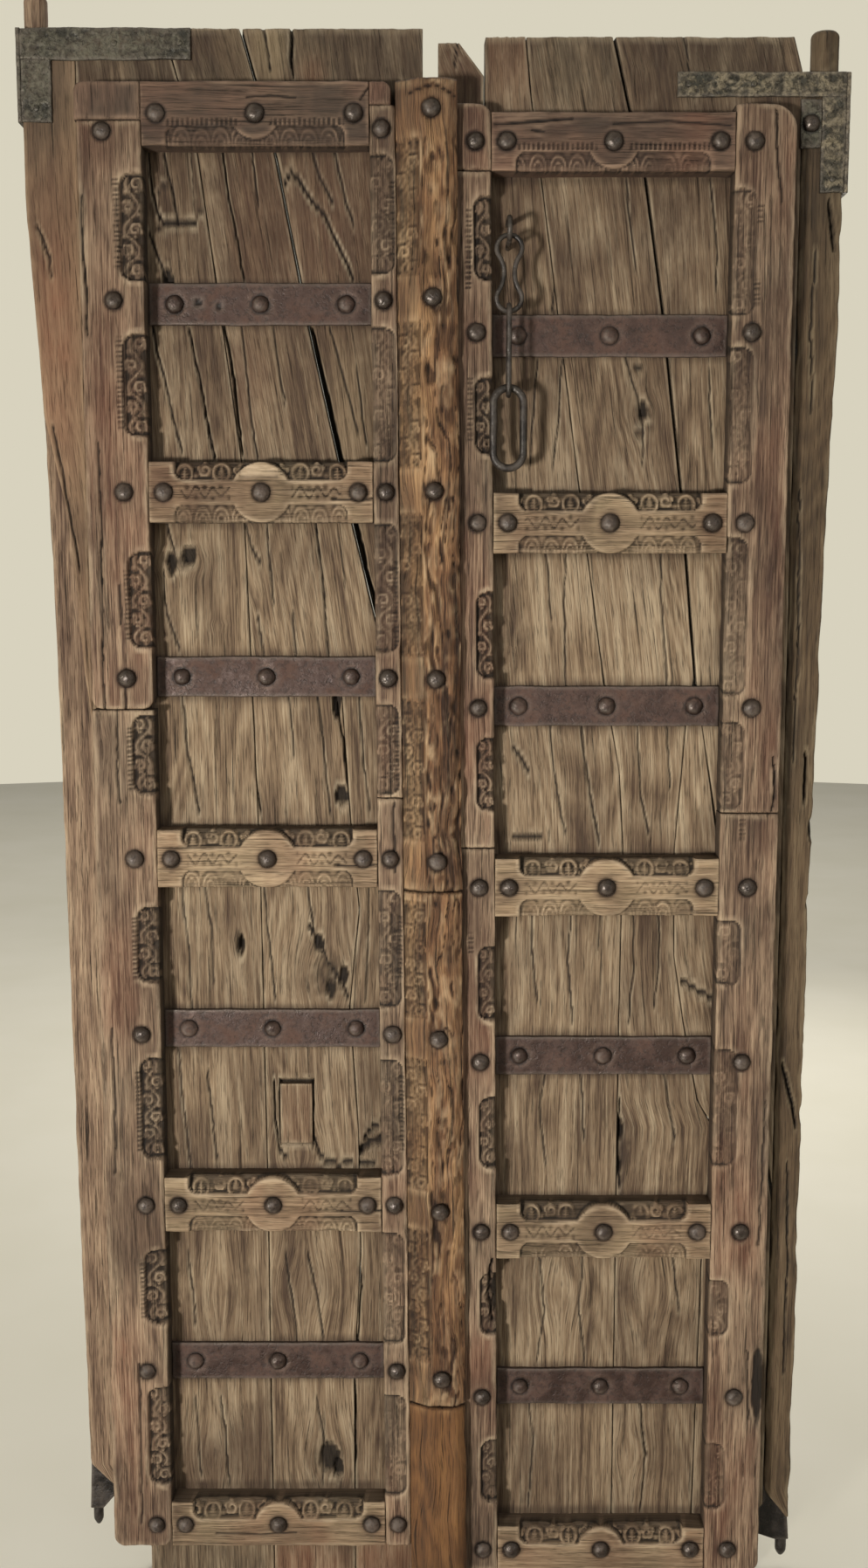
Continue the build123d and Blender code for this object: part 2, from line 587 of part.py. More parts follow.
def build_stiles():
    """The carved stiles of both leaves in their lengths."""
    gap = STILE_JOINT_GAP
    feet = ["outer foot", "field foot"]
    keep("left_outer_stile_upper", outer_stile(LEFT, LEFT_OUTER_JOINT, LEFT_OUTER_HEAD, feet, STILE_CORNER_R))
    keep("left_outer_stile_lower", outer_stile(
        LEFT, LEFT_STILE_FOOT, LEFT_OUTER_JOINT - gap, feet, STILE_CORNER_R))
    keep("left_inner_stile_upper", inner_stile(LEFT, LEFT_INNER_JOINT, LEFT_INNER_HEAD))
    keep("left_inner_stile_lower", inner_stile(LEFT, LEFT_STILE_FOOT, LEFT_INNER_JOINT - gap))
    keep("right_outer_stile_upper", outer_stile(
        RIGHT, RIGHT_OUTER_JOINT, RIGHT_STILE_HEAD, ["outer head"], STILE_HEAD_R))
    keep("right_outer_stile_lower", outer_stile(
        RIGHT, RIGHT_STILE_FOOT, RIGHT_OUTER_JOINT - gap, ["outer foot"], STILE_CORNER_R))
    block_foot = RIGHT_STILE_HEAD - RIGHT_BLOCK_TALL
    block = inner_outline(RIGHT, block_foot, RIGHT_STILE_HEAD)
    block = rounded(block, [(field_left(RIGHT, RIGHT_STILE_HEAD), RIGHT_STILE_HEAD)], STILE_HEAD_R / 2)
    keep("right_inner_stile_block", slab(block, 0, FRAME_THICK))
    keep("right_inner_stile_upper", inner_stile(RIGHT, RIGHT_INNER_JOINT, block_foot - gap))
    keep("right_inner_stile_lower", inner_stile(RIGHT, RIGHT_STILE_FOOT, RIGHT_INNER_JOINT - gap))


def build_rails():
    """The carved rails of both leaves."""
    low, high = LEFT_TOP_ROW - RAIL_TALL / 2, LEFT_TOP_ROW + RAIL_TALL / 2
    body = carved_rail(LEFT, low, high, LEFT_TOP_ROW, (-1,))
    left_end, right_end = field_left(LEFT, high), field_right(LEFT, high)
    cap_low = high - CAP_TALL
    left_lap = box_outline(left_end - CAP_LAP_LEFT, left_end + 2, cap_low, high)
    left_lap = rounded(left_lap, [(left_end - CAP_LAP_LEFT, high)], CAP_R)
    right_lap = box_outline(right_end - 2, right_end + CAP_LAP_RIGHT, high - CAP_RETURN_TALL, high)
    right_lap = rounded(right_lap, [(right_end + CAP_LAP_RIGHT, high)], CAP_R)
    keep("left_top_rail", body + slab(left_lap, 0, FRAME_THICK) + slab(right_lap, 0, FRAME_THICK))
    low, high = RIGHT_TOP_ROW - RIGHT_TOP_RAIL_TALL / 2, RIGHT_TOP_ROW + RIGHT_TOP_RAIL_TALL / 2
    keep("right_top_rail", carved_rail(RIGHT, low, high, RIGHT_TOP_ROW, (-1,)))
    for leaf in (LEFT, RIGHT):
        for number, row in enumerate(leaf.rail_rows(), 1):
            rail = carved_rail(leaf, row - RAIL_TALL / 2, row + RAIL_TALL / 2, row, (-1, 1))
            keep(f"{leaf.name}_rail_{number}", rail)
        row = leaf.bottom_row
        rail = carved_rail(leaf, row - BOTTOM_RAIL_TALL / 2, row + BOTTOM_RAIL_TALL / 2, row, (1,))
        keep(f"{leaf.name}_bottom_rail", rail)


def strip_profile(z):
    """Section of the cover strip at height z: body, wing over the right leaf, carved flank and bevel."""
    left = leaning(STRIP_HEAD_X, STRIP_FOOT_X, z) + SEAT_GAP
    wing_back = FRAME_THICK + STRIP_CLEARANCE
    points = [
        (0, 0), (STRIP_BODY_WIDE, 0), (STRIP_BODY_WIDE, wing_back), (STRIP_WIDE, wing_back),
        (STRIP_WIDE, STRIP_DEPTH - STRIP_EDGE_DROP), (STRIP_WIDE - STRIP_EDGE_WIDE, STRIP_DEPTH),
        (STRIP_FLANK_WIDE, STRIP_DEPTH), (0, STRIP_DEPTH - STRIP_FLANK_DROP),
    ]
    section = make_face(Polyline(*[(x, -depth) for x, depth in points], close=True))
    return Plane.XY.offset(z) * Pos(left, FACE_Y) * section


def build_cover_strip():
    """The cover strip in its three lengths, with leaf cuts in the flank of the two old ones."""
    lengths = {
        "upper": (STRIP_UPPER_JOINT, STRIP_TOP),
        "middle": (STRIP_LOWER_JOINT, STRIP_UPPER_JOINT - STILE_JOINT_GAP),
        "lower": (0.0, STRIP_LOWER_JOINT - STILE_JOINT_GAP),
    }
    rows = LEFT.all_rows()
    for name, (z_low, z_high) in lengths.items():
        body = loft([strip_profile(z_low), strip_profile(z_high)], ruled=True)
        cuts = []
        for low, high in zip(rows, rows[1:]):
            start, end = low + POCKET_ABOVE_ROW, high - POCKET_BELOW_ROW
            if start < z_low or end > z_high or name == "lower":
                continue
            pitch = (end - start) / FLANK_NOTCHES
            for number in range(FLANK_NOTCHES):
                z = start + pitch * (number + 0.5)
                edge = leaning(STRIP_HEAD_X, STRIP_FOOT_X, z)
                cuts.append(outline([
                    (edge - 1, z - FLANK_NOTCH_TALL / 2), (edge + FLANK_NOTCH_LONG, z),
                    (edge - 1, z + FLANK_NOTCH_TALL / 2),
                ]))
        if cuts:
            body -= slab(Sketch() + cuts, STRIP_DEPTH - STRIP_FLANK_DROP - 2, STRIP_DEPTH)
        keep(f"cover_strip_{name}", body)


def build_studs():
    """All studs, gathered by what they hold; the wedge plate has one of the stile studs."""
    strip = []
    for z in LEFT.all_rows()[1:]:
        strip.append(stud(leaning(STRIP_HEAD_X, STRIP_FOOT_X, z) + STRIP_STUD_IN, z, STRIP_DEPTH))
    keep("cover_strip_studs", Compound(strip))
    for leaf in (LEFT, RIGHT):
        if leaf is LEFT:
            outer = [LEFT_STILE_OUT + inset for inset in LEFT_OUTER_STUDS]
        else:
            outer = [RIGHT_STILE_OUT - inset for inset in RIGHT_OUTER_STUDS]
        stiles = [stud(x, z, FRAME_THICK) for x, z in zip(outer, leaf.all_rows()) if z != LEFT_TOP_ROW]
        if leaf is LEFT:
            stiles.append(stud(outer[-1], LEFT_OUTER_HEAD - STUD_R - 1, FRAME_THICK))
        for z in leaf.all_rows():
            if leaf is LEFT:
                x = leaning(STRIP_HEAD_X, STRIP_FOOT_X, z) - LEFT_INNER_STUD_IN
                z = min(z, LEFT_INNER_HEAD - CAP_RETURN_TALL)
            else:
                x = field_left(RIGHT, z) - RIGHT_INNER_STUD_IN
            stiles.append(stud(x, z, FRAME_THICK))
        if leaf is RIGHT:
            plate_middle = EDGE_REACH - RIGHT_DROP_WIDE - SEAT_GAP - PLATE_WIDE / 2
            stiles.append(stud(plate_middle, PLATE_TOP - PLATE_TALL / 2, IRON_THICK))
        keep(f"{leaf.name}_stile_studs", Compound(stiles))
        rails = []
        for z in leaf.all_rows()[::2]:
            left, right = field_left(leaf, z), field_right(leaf, z)
            for x in (left + RAIL_STUD_IN, (left + right) / 2, right - RAIL_STUD_IN):
                rails.append(stud(x, z, FRAME_THICK))
        keep(f"{leaf.name}_rail_studs", Compound(rails))
        straps = []
        for z in leaf.strap_rows():
            left, right = field_left(leaf, z), field_right(leaf, z)
            for x in (left + STRAP_STUD_IN, (left + right) / 2, right - STRAP_STUD_IN):
                straps.append(stud(x, z, STRAP_THICK))
        keep(f"{leaf.name}_strap_studs", Compound(straps))


def bend(centre, radius, start_angle, end_angle, flats):
    """Corners of a bend hammered in flats that keeps its radius from the centre at the middle of each flat."""
    step = (end_angle - start_angle) / flats
    reach = radius / math.cos(math.radians(step / 2))
    corners = []
    for number in range(flats):
        angle = math.radians(start_angle + step * (number + 0.5))
        corners.append((centre[0] + reach * math.cos(angle), centre[1] + reach * math.sin(angle)))
    return corners


def bar(plane, corners, diameter, closed):
    """A forged bar of many-sided section along straight runs between corners in a plane."""
    path = plane * Polyline(*corners, close=closed)
    start = Plane(path @ 0, x_dir=plane.z_dir, z_dir=path % 0)
    turned = start * Rot(0, 0, 180 / BAR_SIDES)
    section = turned * RegularPolygon(diameter / 2, BAR_SIDES, major_radius=False)
    return sweep(section, path=path, transition=Transition.RIGHT)


def oval(half_wide, span):
    """Corners of a closed oval: two half rounds at a distance, the lower one about the origin."""
    low = bend((0, 0), half_wide, 180, 360, BEND_FLATS)
    high = bend((0, span), half_wide, 0, 180, BEND_FLATS)
    return [(-half_wide, span / 2)] + low + high


def build_chain():
    """The hasp chain: staple, figure-eight link, long link and end ring, each hanging in the last."""
    chain_y = FACE_Y - CHAIN_DEPTH
    in_wood = CHAIN_DEPTH + STAPLE_IN_WOOD - SEAT_GAP
    side = Plane(origin=(CHAIN_X, chain_y, STAPLE_Z), x_dir=(0, -1, 0), z_dir=(-1, 0, 0))
    legs = [(-in_wood, -STAPLE_R)] + bend((0, 0), STAPLE_R, -90, 90, BEND_FLATS) + [(-in_wood, STAPLE_R)]
    keep("chain_staple", bar(side, legs, STAPLE_BAR, False))
    eight_top = STAPLE_Z - (STAPLE_R - STAPLE_BAR / 2 - EIGHT_BAR / 2 - LINK_GAP)
    waist_z = eight_top - EIGHT_R - EIGHT_REACH
    waist_r = (EIGHT_WAIST ** 2 + EIGHT_REACH ** 2 - EIGHT_R ** 2) / (2 * (EIGHT_R - EIGHT_WAIST))
    lean = math.degrees(math.atan2(EIGHT_REACH, EIGHT_WAIST + waist_r))
    waist_x = EIGHT_WAIST + waist_r
    corners = bend((0, EIGHT_REACH), EIGHT_R, 90, 180 + lean, 2 * WAIST_FLATS)
    corners += bend((-waist_x, 0), waist_r, lean, -lean, WAIST_FLATS)
    corners += bend((0, -EIGHT_REACH), EIGHT_R, 180 - lean, 360 + lean, 4 * WAIST_FLATS)
    corners += bend((waist_x, 0), waist_r, 180 + lean, 180 - lean, WAIST_FLATS)
    corners += bend((0, EIGHT_REACH), EIGHT_R, -lean, 90, 2 * WAIST_FLATS)
    front = Plane(origin=(CHAIN_X, chain_y, waist_z), x_dir=(1, 0, 0), z_dir=(0, -1, 0))
    keep("figure_eight_link", bar(front, [(0, EIGHT_REACH + EIGHT_R)] + corners, EIGHT_BAR, True))
    long_half = RING_BAR / 2 + 2 * LINK_GAP + LONG_BAR / 2
    long_top = waist_z - EIGHT_REACH - EIGHT_R + EIGHT_BAR / 2 + LINK_GAP + LONG_BAR / 2 - long_half
    long_foot = long_top - LONG_SPAN
    edge_on = Plane(origin=(CHAIN_X, chain_y, long_foot), x_dir=(0, 1, 0), z_dir=(1, 0, 0))
    keep("long_link", bar(edge_on, oval(long_half, LONG_SPAN), LONG_BAR, True))
    ring_half = (RING_WIDE - RING_BAR) / 2
    ring_span = RING_TALL - RING_WIDE
    ring_top = long_foot - long_half + LONG_BAR / 2 + LINK_GAP + RING_BAR / 2
    ring_low = ring_top - ring_half - ring_span
    face_on = Plane(origin=(CHAIN_X, chain_y, ring_low), x_dir=(1, 0, 0), z_dir=(0, -1, 0))
    keep("end_ring", bar(face_on, oval(ring_half, ring_span), RING_BAR, True))


build_left_pivot()
build_left_planks()
build_right_pivot()
build_right_planks()
build_irons()
build_stiles()
build_rails()
build_cover_strip()
build_studs()
build_chain()

os.makedirs("parts", exist_ok=True)
for name, shape in SHAPES.items():
    export_step(shape, f"parts/{name}.step")
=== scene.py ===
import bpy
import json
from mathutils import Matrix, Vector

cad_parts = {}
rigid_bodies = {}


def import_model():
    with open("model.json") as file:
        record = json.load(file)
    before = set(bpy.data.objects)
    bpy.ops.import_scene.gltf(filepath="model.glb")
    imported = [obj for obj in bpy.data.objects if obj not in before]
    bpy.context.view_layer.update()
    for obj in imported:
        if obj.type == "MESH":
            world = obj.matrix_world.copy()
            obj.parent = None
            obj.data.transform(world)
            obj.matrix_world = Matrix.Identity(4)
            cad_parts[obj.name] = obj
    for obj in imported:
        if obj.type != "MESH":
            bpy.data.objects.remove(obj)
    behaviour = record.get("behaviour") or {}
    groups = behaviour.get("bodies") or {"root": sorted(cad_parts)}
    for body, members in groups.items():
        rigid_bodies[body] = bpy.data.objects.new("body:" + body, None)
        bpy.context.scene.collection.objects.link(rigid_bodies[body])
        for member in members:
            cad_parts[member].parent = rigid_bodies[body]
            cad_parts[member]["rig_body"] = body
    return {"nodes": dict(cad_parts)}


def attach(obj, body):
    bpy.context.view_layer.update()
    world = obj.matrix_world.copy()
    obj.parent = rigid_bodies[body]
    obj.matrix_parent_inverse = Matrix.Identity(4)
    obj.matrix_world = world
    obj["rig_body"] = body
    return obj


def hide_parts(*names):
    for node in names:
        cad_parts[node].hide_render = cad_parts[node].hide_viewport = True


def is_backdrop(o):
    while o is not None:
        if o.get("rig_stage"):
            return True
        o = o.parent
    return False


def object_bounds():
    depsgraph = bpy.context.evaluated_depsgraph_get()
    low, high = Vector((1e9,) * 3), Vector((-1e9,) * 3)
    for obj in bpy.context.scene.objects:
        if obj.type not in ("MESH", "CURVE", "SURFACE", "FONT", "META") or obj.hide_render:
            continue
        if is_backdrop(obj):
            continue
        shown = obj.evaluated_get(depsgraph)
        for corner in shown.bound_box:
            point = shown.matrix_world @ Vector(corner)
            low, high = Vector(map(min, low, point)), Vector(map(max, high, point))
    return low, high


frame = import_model()
CAD_BOX = [list(corner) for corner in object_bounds()]

import json
import logging
import math
from dataclasses import dataclass, field
from enum import Enum
from typing import Optional, Sequence

import bpy
import numpy as np

# A worn double door of slanted planks with carved frames, iron straps, studs and a hasp chain.
# Shapes are in millimetres as x, z and depth; depth counts forwards from the planks' face.

LOG = logging.getLogger("door")
Array = np.ndarray
Path = Sequence[tuple[float, float]]
Rgb = tuple[int, int, int]
Faces = list[tuple[Array, bool]]

# The planks' face lies at y = FACE_Y, and the frame stands FRAME_THICK out from it, towards lower y.
FACE_Y = 14.0
FRAME_THICK = 36.0
# The cover strip leans: x of its left edge at its head and foot.
STRIP_TOP = 1992.0
STRIP_HEAD_X, STRIP_FOOT_X = -48.0, -31.0
# Middles of the rows of studs from the foot up: even places are rails, odd ones straps.
LEFT_ROWS = (97.0, 320.4, 555.8, 791.2, 1026.6, 1262.0, 1497.4, 1732.8, 1956.0)
RIGHT_ROWS = (60.0, 283.1, 518.2, 753.4, 988.5, 1223.6, 1458.8, 1693.9, 1923.0)
# The planks lie behind the frame's face, so places seen on it spread about the camera's height.
SEEN_FROM_Z = 1390.0
PLANK_SPREAD = 1.0172
PLANK_BACK = -30.0
# Heads of the leaves, edges of their planks and of the fields between the stiles.
LEFT_HEAD, RIGHT_HEAD, RIGHT_PIVOT_HEAD = 2066, 2056, 2014
WEDGE_FOOT = 1262.0
MEETING_EDGE = -14
LEFT_PIVOT_EDGE = -446.4
LEFT_FIELD_EDGE, RIGHT_FIELD_EDGE = -360.6, 371.6
STRAP_HALF, RAIL_HALF = 26.0, 38.0
PIVOT_REACH = 445
# How far fibres may rise above a board's face, and the least thickness that damage leaves.
FIBRE_RISE, LEAST_THICK = 0.8, 4.0


class Noise:
    """Smooth seeded noise on a wrapped lattice of random values."""

    def __init__(self, seed: int) -> None:
        self.table = np.random.default_rng(seed).uniform(-1.0, 1.0, (256, 256))

    def at(self, u: Array, v: Array) -> Array:
        """Noise at points: the four lattice values around each, blended by the smooth step of its offset.

        Args:
            u, v: lattice coordinates, any shapes that broadcast together.

        Returns:
            Values from -1 to 1.
        """
        u, v = np.broadcast_arrays(np.asarray(u, float), np.asarray(v, float))
        iu, iv = np.floor(u).astype(int), np.floor(v).astype(int)
        fu, fv = u - iu, v - iv
        fu, fv = fu * fu * (3 - 2 * fu), fv * fv * (3 - 2 * fv)
        i0, i1, j0, j1 = iu & 255, (iu + 1) & 255, iv & 255, (iv + 1) & 255
        low = self.table[i0, j0] * (1 - fu) + self.table[i1, j0] * fu
        high = self.table[i0, j1] * (1 - fu) + self.table[i1, j1] * fu
        return low * (1 - fv) + high * fv

    def layers(self, u: Array, v: Array, count: int = 4) -> Array:
        """Sum of layers of noise, each twice as fine and half as strong as the last."""
        total = 0.0
        for number in range(count):
            finer = 2 ** number
            total = total + 0.5 ** (number + 1) * self.at(u * finer + 17.3 * number, v * finer + 5.1 * number)
        return total


def smooth(value: Array) -> Array:
    """Smooth step of a value clipped to 0..1."""
    value = np.clip(value, 0.0, 1.0)
    return value * value * (3 - 2 * value)


def bell(distance: Array, reach: float) -> Array:
    """A round hump: one at distance 0, falling as the Gauss curve."""
    return np.exp(-((distance / reach) ** 2))


def on_planks(path: Path) -> list[tuple[float, float]]:
    """Places seen on the frame's face, carried back along the line of sight to the planks' face."""
    return [(x * PLANK_SPREAD, SEEN_FROM_Z + (z - SEEN_FROM_Z) * PLANK_SPREAD + 10.0) for x, z in path]


def path_distance(x: Array, z: Array, path: Path) -> tuple[Array, Array]:
    """Distance of points from a path of straight runs, and how far along it the nearest place is.

    Args:
        x, z: the points.
        path: corners of the path.

    Returns:
        Distances, and shares of the path's length from 0 to 1.
    """
    lengths = [math.hypot(b[0] - a[0], b[1] - a[1]) for a, b in zip(path, path[1:])]
    total, gone = sum(lengths), 0.0
    best = np.full(x.shape, 1e9)
    share = np.zeros(x.shape)
    for (x0, z0), (x1, z1), length in zip(path, path[1:], lengths):
        t = np.clip(((x - x0) * (x1 - x0) + (z - z0) * (z1 - z0)) / max(length, 1e-6) ** 2, 0, 1)
        distance = np.hypot(x - x0 - t * (x1 - x0), z - z0 - t * (z1 - z0))
        nearer = distance < best
        best = np.where(nearer, distance, best)
        share = np.where(nearer, (gone + t * length) / total, share)
        gone += length
    return best, share


def blurred(values: Array, reach: int) -> Array:
    """Values averaged over a square of cells that reaches to each side, by running sums."""
    for axis in (0, 1):
        pad = [(0, 0), (0, 0)]
        pad[axis] = (reach + 1, reach)
        sums = np.cumsum(np.pad(values, pad, mode="edge"), axis=axis)
        width = 2 * reach + 1
        if axis == 0:
            values = (sums[width:] - sums[:-width]) / width
        else:
            values = (sums[:, width:] - sums[:, :-width]) / width
    return values


def stations(length: float, step: float, multiple: int) -> Array:
    """Shares from 0 to 1 at even steps, closer at both ends for the rounded edges.

    Args:
        length: real length in millimetres.
        step: the wanted spacing.
        multiple: the number of spaces is a multiple of this.
    """
    ends = np.array([0.0, 0.5, 1.4, 3.0])
    ends = ends[ends < length * 0.2]
    spaces = max(2, int(round((length - 2 * ends[-1]) / step)))
    spaces += -(spaces + 2 * (len(ends) - 1)) % multiple
    inner = np.linspace(ends[-1], length - ends[-1], spaces + 1)
    return np.concatenate([ends[:-1], inner, length - ends[:-1][::-1]]) / length


def clusters(node: str, gap: float = 14.0) -> list[tuple[float, float, float]]:
    """Middles and seat depths of the separate heads in a CAD node, in millimetres."""
    mesh = frame["nodes"][node].data
    places = np.zeros(len(mesh.vertices) * 3, np.float32)
    mesh.vertices.foreach_get("co", places)
    places = places.reshape(-1, 3) * 1000.0
    groups = [places]
    for axis in (2, 0, 2):
        parts = []
        for group in groups:
            ordered = group[np.argsort(group[:, axis])]
            breaks = np.nonzero(np.diff(ordered[:, axis]) > gap)[0] + 1
            parts += np.split(ordered, breaks)
        groups = parts
    found = []
    for group in groups:
        low, high = group.min(0), group.max(0)
        found.append((float(low[0] + high[0]) / 2, float(low[2] + high[2]) / 2, FACE_Y - float(high[1])))
    return found


STUD_NODES = ("cover_strip_studs", "left_stile_studs", "left_rail_studs", "left_strap_studs",
    "right_stile_studs", "right_rail_studs", "right_strap_studs")
STUDS = [place for node in STUD_NODES for place in clusters(node)]


class Relief:
    """The face of a piece on a grid: rows upwards, columns to the right, with its height and its marks."""

    def __init__(self, x: Array, z: Array, front: float) -> None:
        self.x, self.z = x, z
        self.pitch = float(z.max() - z.min()) / (z.shape[0] - 1)
        self.height = np.full(x.shape, float(front))
        self.cavity, self.wear, self.stain = np.zeros((3, *x.shape))
        self.green, self.pale, self.red = np.zeros((3, *x.shape))
        self.swirl = np.zeros(x.shape)
        self.back_x = x

    def mark(self, layer: str, amount: Array) -> None:
        """Raises one layer of marks to an amount wherever it is lower."""
        setattr(self, layer, np.maximum(getattr(self, layer), amount))

    def suffer(self, damage: Sequence, noise: Noise) -> None:
        """Adds each piece of damage in turn."""
        for piece in damage:
            piece.on(self, noise)

    def sink(self, amount: Array, dark: float = 1.0) -> None:
        """Lowers the face by an amount and darkens it there with the dirt and painted shade of a hollow."""
        self.height -= amount
        self.mark("cavity", np.clip(amount * dark / 3.0, 0, 1))

    def rust(self, front: float) -> None:
        """A dark ring round each stud that sits on this face, painted contact shade with rust in it, a rust
        halo, and a faint run of rust below it.
        """
        low_x, high_x, low_z, high_z = self.x.min(), self.x.max(), self.z.min(), self.z.max()
        for x, z, depth in STUDS:
            if abs(depth - front) > 3 or not (low_x - 8 < x < high_x + 8 and low_z - 8 < z < high_z + 8):
                continue
            distance = np.hypot(self.x - x, self.z - z)
            # painted contact shade with rust: the dark ring at the stud's foot
            self.mark("cavity", 0.9 * smooth((14.2 - distance) / 2.4))
            self.mark("stain", 0.8 * bell(np.maximum(distance - 12, 0), 7.0))
            run = bell(self.x - x, 6.0) * np.exp(-np.clip(z - self.z, 0, 200) / 22.0) * (self.z < z)
            self.mark("stain", 0.6 * run)
            self.height -= 0.5 * smooth((15.5 - distance) / 3.0)

    def weathered(self, noise: Noise) -> None:
        """Uneven grime and reddish and greenish drifts over a frame piece, and a darkening that grows the
        higher it sits.
        """
        drift = noise.layers(self.x / 45.0, self.z / 120.0, 4)
        other = noise.layers(self.x / 60.0 + 40.0, self.z / 170.0, 3)
        high = 0.04 + 0.6 * smooth((self.z - 1000.0) / 900.0)
        self.mark("stain", np.clip(high + 1.4 * drift, 0, 0.95))
        self.mark("red", np.clip(1.4 * other, 0, 0.6))
        self.mark("green", np.clip(-1.3 * other, 0, 0.5))

    def fibres(self, noise: Noise, strength: float, pitch: float = 3.2, upright: bool = True) -> None:
        """Raised fibres left by weather: noise drawn out along the grain."""
        u, v = (self.x + self.swirl, self.z) if upright else (self.z + self.swirl, self.x)
        ribs = noise.layers(u / pitch, v / 90.0, 3)
        waves = noise.layers(u / 40.0, v / 260.0, 2)
        self.height += strength * (1.1 * ribs + 1.6 * waves)

    def round_edges(self, radius: Array, left: Array, right: Array, low: Array, high: Array) -> None:
        """Rounds the four edges: the drop of a quarter circle at each distance from the edge."""
        for distance in (left, right, low, high):
            away = np.clip(1 - distance / radius, 0, 1)
            self.height -= radius * (1 - np.sqrt(1 - 0.97 * away ** 2))
            self.mark("wear", 0.7 * smooth(1.5 - distance / (radius + 1.5)))

    def settle(self, reach: int = 3, scale: float = 2.2) -> None:
        """Dirt and painted shade gather where the face lies below its surroundings, and ridges are rubbed
        paler.
        """
        shape = blurred(self.height, reach) - self.height
        self.mark("cavity", np.clip(shape / scale, 0, 1))
        self.mark("wear", np.clip(-shape / (0.8 * scale), 0, 1) * (1 - self.cavity))


@dataclass
class Crack:
    """A crack along a path: a notch of smooth-step section whose width tapers to both ends."""

    path: Path
    wide: float = 2.0
    deep: float = 7.0

    def on(self, relief: Relief, noise: Noise) -> None:
        """Cuts the notch; coarse rows flatten the distances, so that level runs stay whole."""
        wander = 0.8 * noise.at(relief.z / 9.0, relief.x / 60.0)
        x = relief.x + wander + 1.2 * noise.at(relief.z / 31.0, relief.x / 90.0)
        flatten = min(1.0, 2.6 / relief.pitch)
        path = [(at, height * flatten) for at, height in self.path]
        distance, share = path_distance(x, relief.z * flatten, path)
        taper = 0.35 + 0.65 * np.sin(np.pi * np.clip(share, 0.02, 0.98)) ** 0.5
        notch = smooth(1.25 - distance / np.maximum(self.wide * taper, 1.4))
        relief.height -= self.deep * notch
        # dirt and painted shade darken the notch and a soft halo beside it
        relief.mark("cavity", notch)
        relief.mark("cavity", 0.2 * bell(distance, 2.0 * self.wide))


@dataclass
class Spot:
    """A mark round one place, with its half width and half height."""

    x: float
    z: float
    wide: float
    tall: float

    def away(self, relief: Relief) -> Array:
        """Distance from the place in half widths and half heights."""
        return np.hypot((relief.x - self.x) / self.wide, (relief.z - self.z) / self.tall)


@dataclass
class Knot(Spot):
    """A knot: a sunk ragged eye in a low swelling, with the grain led round it on both sides."""

    deep: float = 3.0

    def on(self, relief: Relief, noise: Noise) -> None:
        """Adds the swelling, the ringed eye and the turn of the grain."""
        u, v = (relief.x - self.x) / self.wide, (relief.z - self.z) / self.tall
        radius = np.hypot(u, v) * (1 + 0.5 * noise.layers(relief.x / 6.0, relief.z / 8.0, 3))
        eye = smooth(self.deep - 1.0)
        relief.height += 0.6 * bell(radius, 2.0) - self.deep * eye * smooth(1.3 - radius)
        rings = 0.75 + 0.25 * np.cos(radius * 14.0)
        relief.mark("cavity", 0.7 * eye * rings * smooth(1.35 - radius))
        relief.mark("stain", (0.2 + 0.35 * eye) * bell(radius, 2.2))
        relief.swirl -= 0.7 * self.wide * u * np.exp(-(u * u + v * v) / 2.6)


@dataclass
class Hole(Spot):
    """A ragged hole broken into the face."""

    deep: float = 12.0

    def on(self, relief: Relief, noise: Noise) -> None:
        """Breaks the hole out, never thinner than the rows can show."""
        tall = max(self.tall, 1.8 * relief.pitch)
        ragged = 0.35 * noise.layers(relief.x / 9.0, relief.z / 12.0, 3)
        radius = np.hypot((relief.x - self.x) / self.wide, (relief.z - self.z) / tall) + ragged
        notch = smooth((1.15 - radius) * 2.5)
        relief.height -= self.deep * notch
        # dirt and painted shade darken the hole
        relief.mark("cavity", notch)


@dataclass
class Cloud(Spot):
    """A soft dark stain."""

    amount: float = 0.9

    def on(self, relief: Relief, noise: Noise) -> None:
        """Stains the face round the place."""
        relief.mark("stain", self.amount * bell(self.away(relief), 1.0))


@dataclass
class Tint(Spot):
    """A soft patch of another colour: greener, paler or redder wood."""

    green: float = 0.0
    pale: float = 0.0
    red: float = 0.0

    def on(self, relief: Relief, noise: Noise) -> None:
        """Tints the face round the place."""
        patch = bell(self.away(relief) ** 1.5, 1.0)
        for layer, amount in (("green", self.green), ("pale", self.pale), ("red", self.red)):
            relief.mark(layer, amount * patch)


@dataclass
class Splinter:
    """A piece split off inside a many-sided outline: the face there lies lower by deep."""

    corners: Path
    deep: float = 3.0

    def on(self, relief: Relief, noise: Noise) -> None:
        """Lowers the face where a level ray crosses the outline an odd number of times."""
        inside = np.zeros(relief.x.shape, bool)
        for (x0, z0), (x1, z1) in zip(self.corners, list(self.corners[1:]) + [self.corners[0]]):
            crosses = (z0 > relief.z) != (z1 > relief.z)
            at = x0 + (relief.z - z0) * (x1 - x0) / (z1 - z0 if z1 != z0 else 1e-6)
            inside ^= crosses & (relief.x < at)
        relief.height -= self.deep * inside


def spots(kind: type, *rows: Sequence[float]) -> list[Spot]:
    """Knots, holes or clouds seen on the frame's face: x, z and sizes in each row."""
    return [kind(*on_planks([row[:2]])[0], *row[2:]) for row in rows]


def seams(wide: float, deep: float, *paths: Sequence[float]) -> list[Crack]:
    """Cracks of one width and depth seen on the frame's face: x and z of each corner in turn."""
    return [Crack(on_planks(list(zip(path[::2], path[1::2]))), 0.6 * wide, 0.7 * deep) for path in paths]


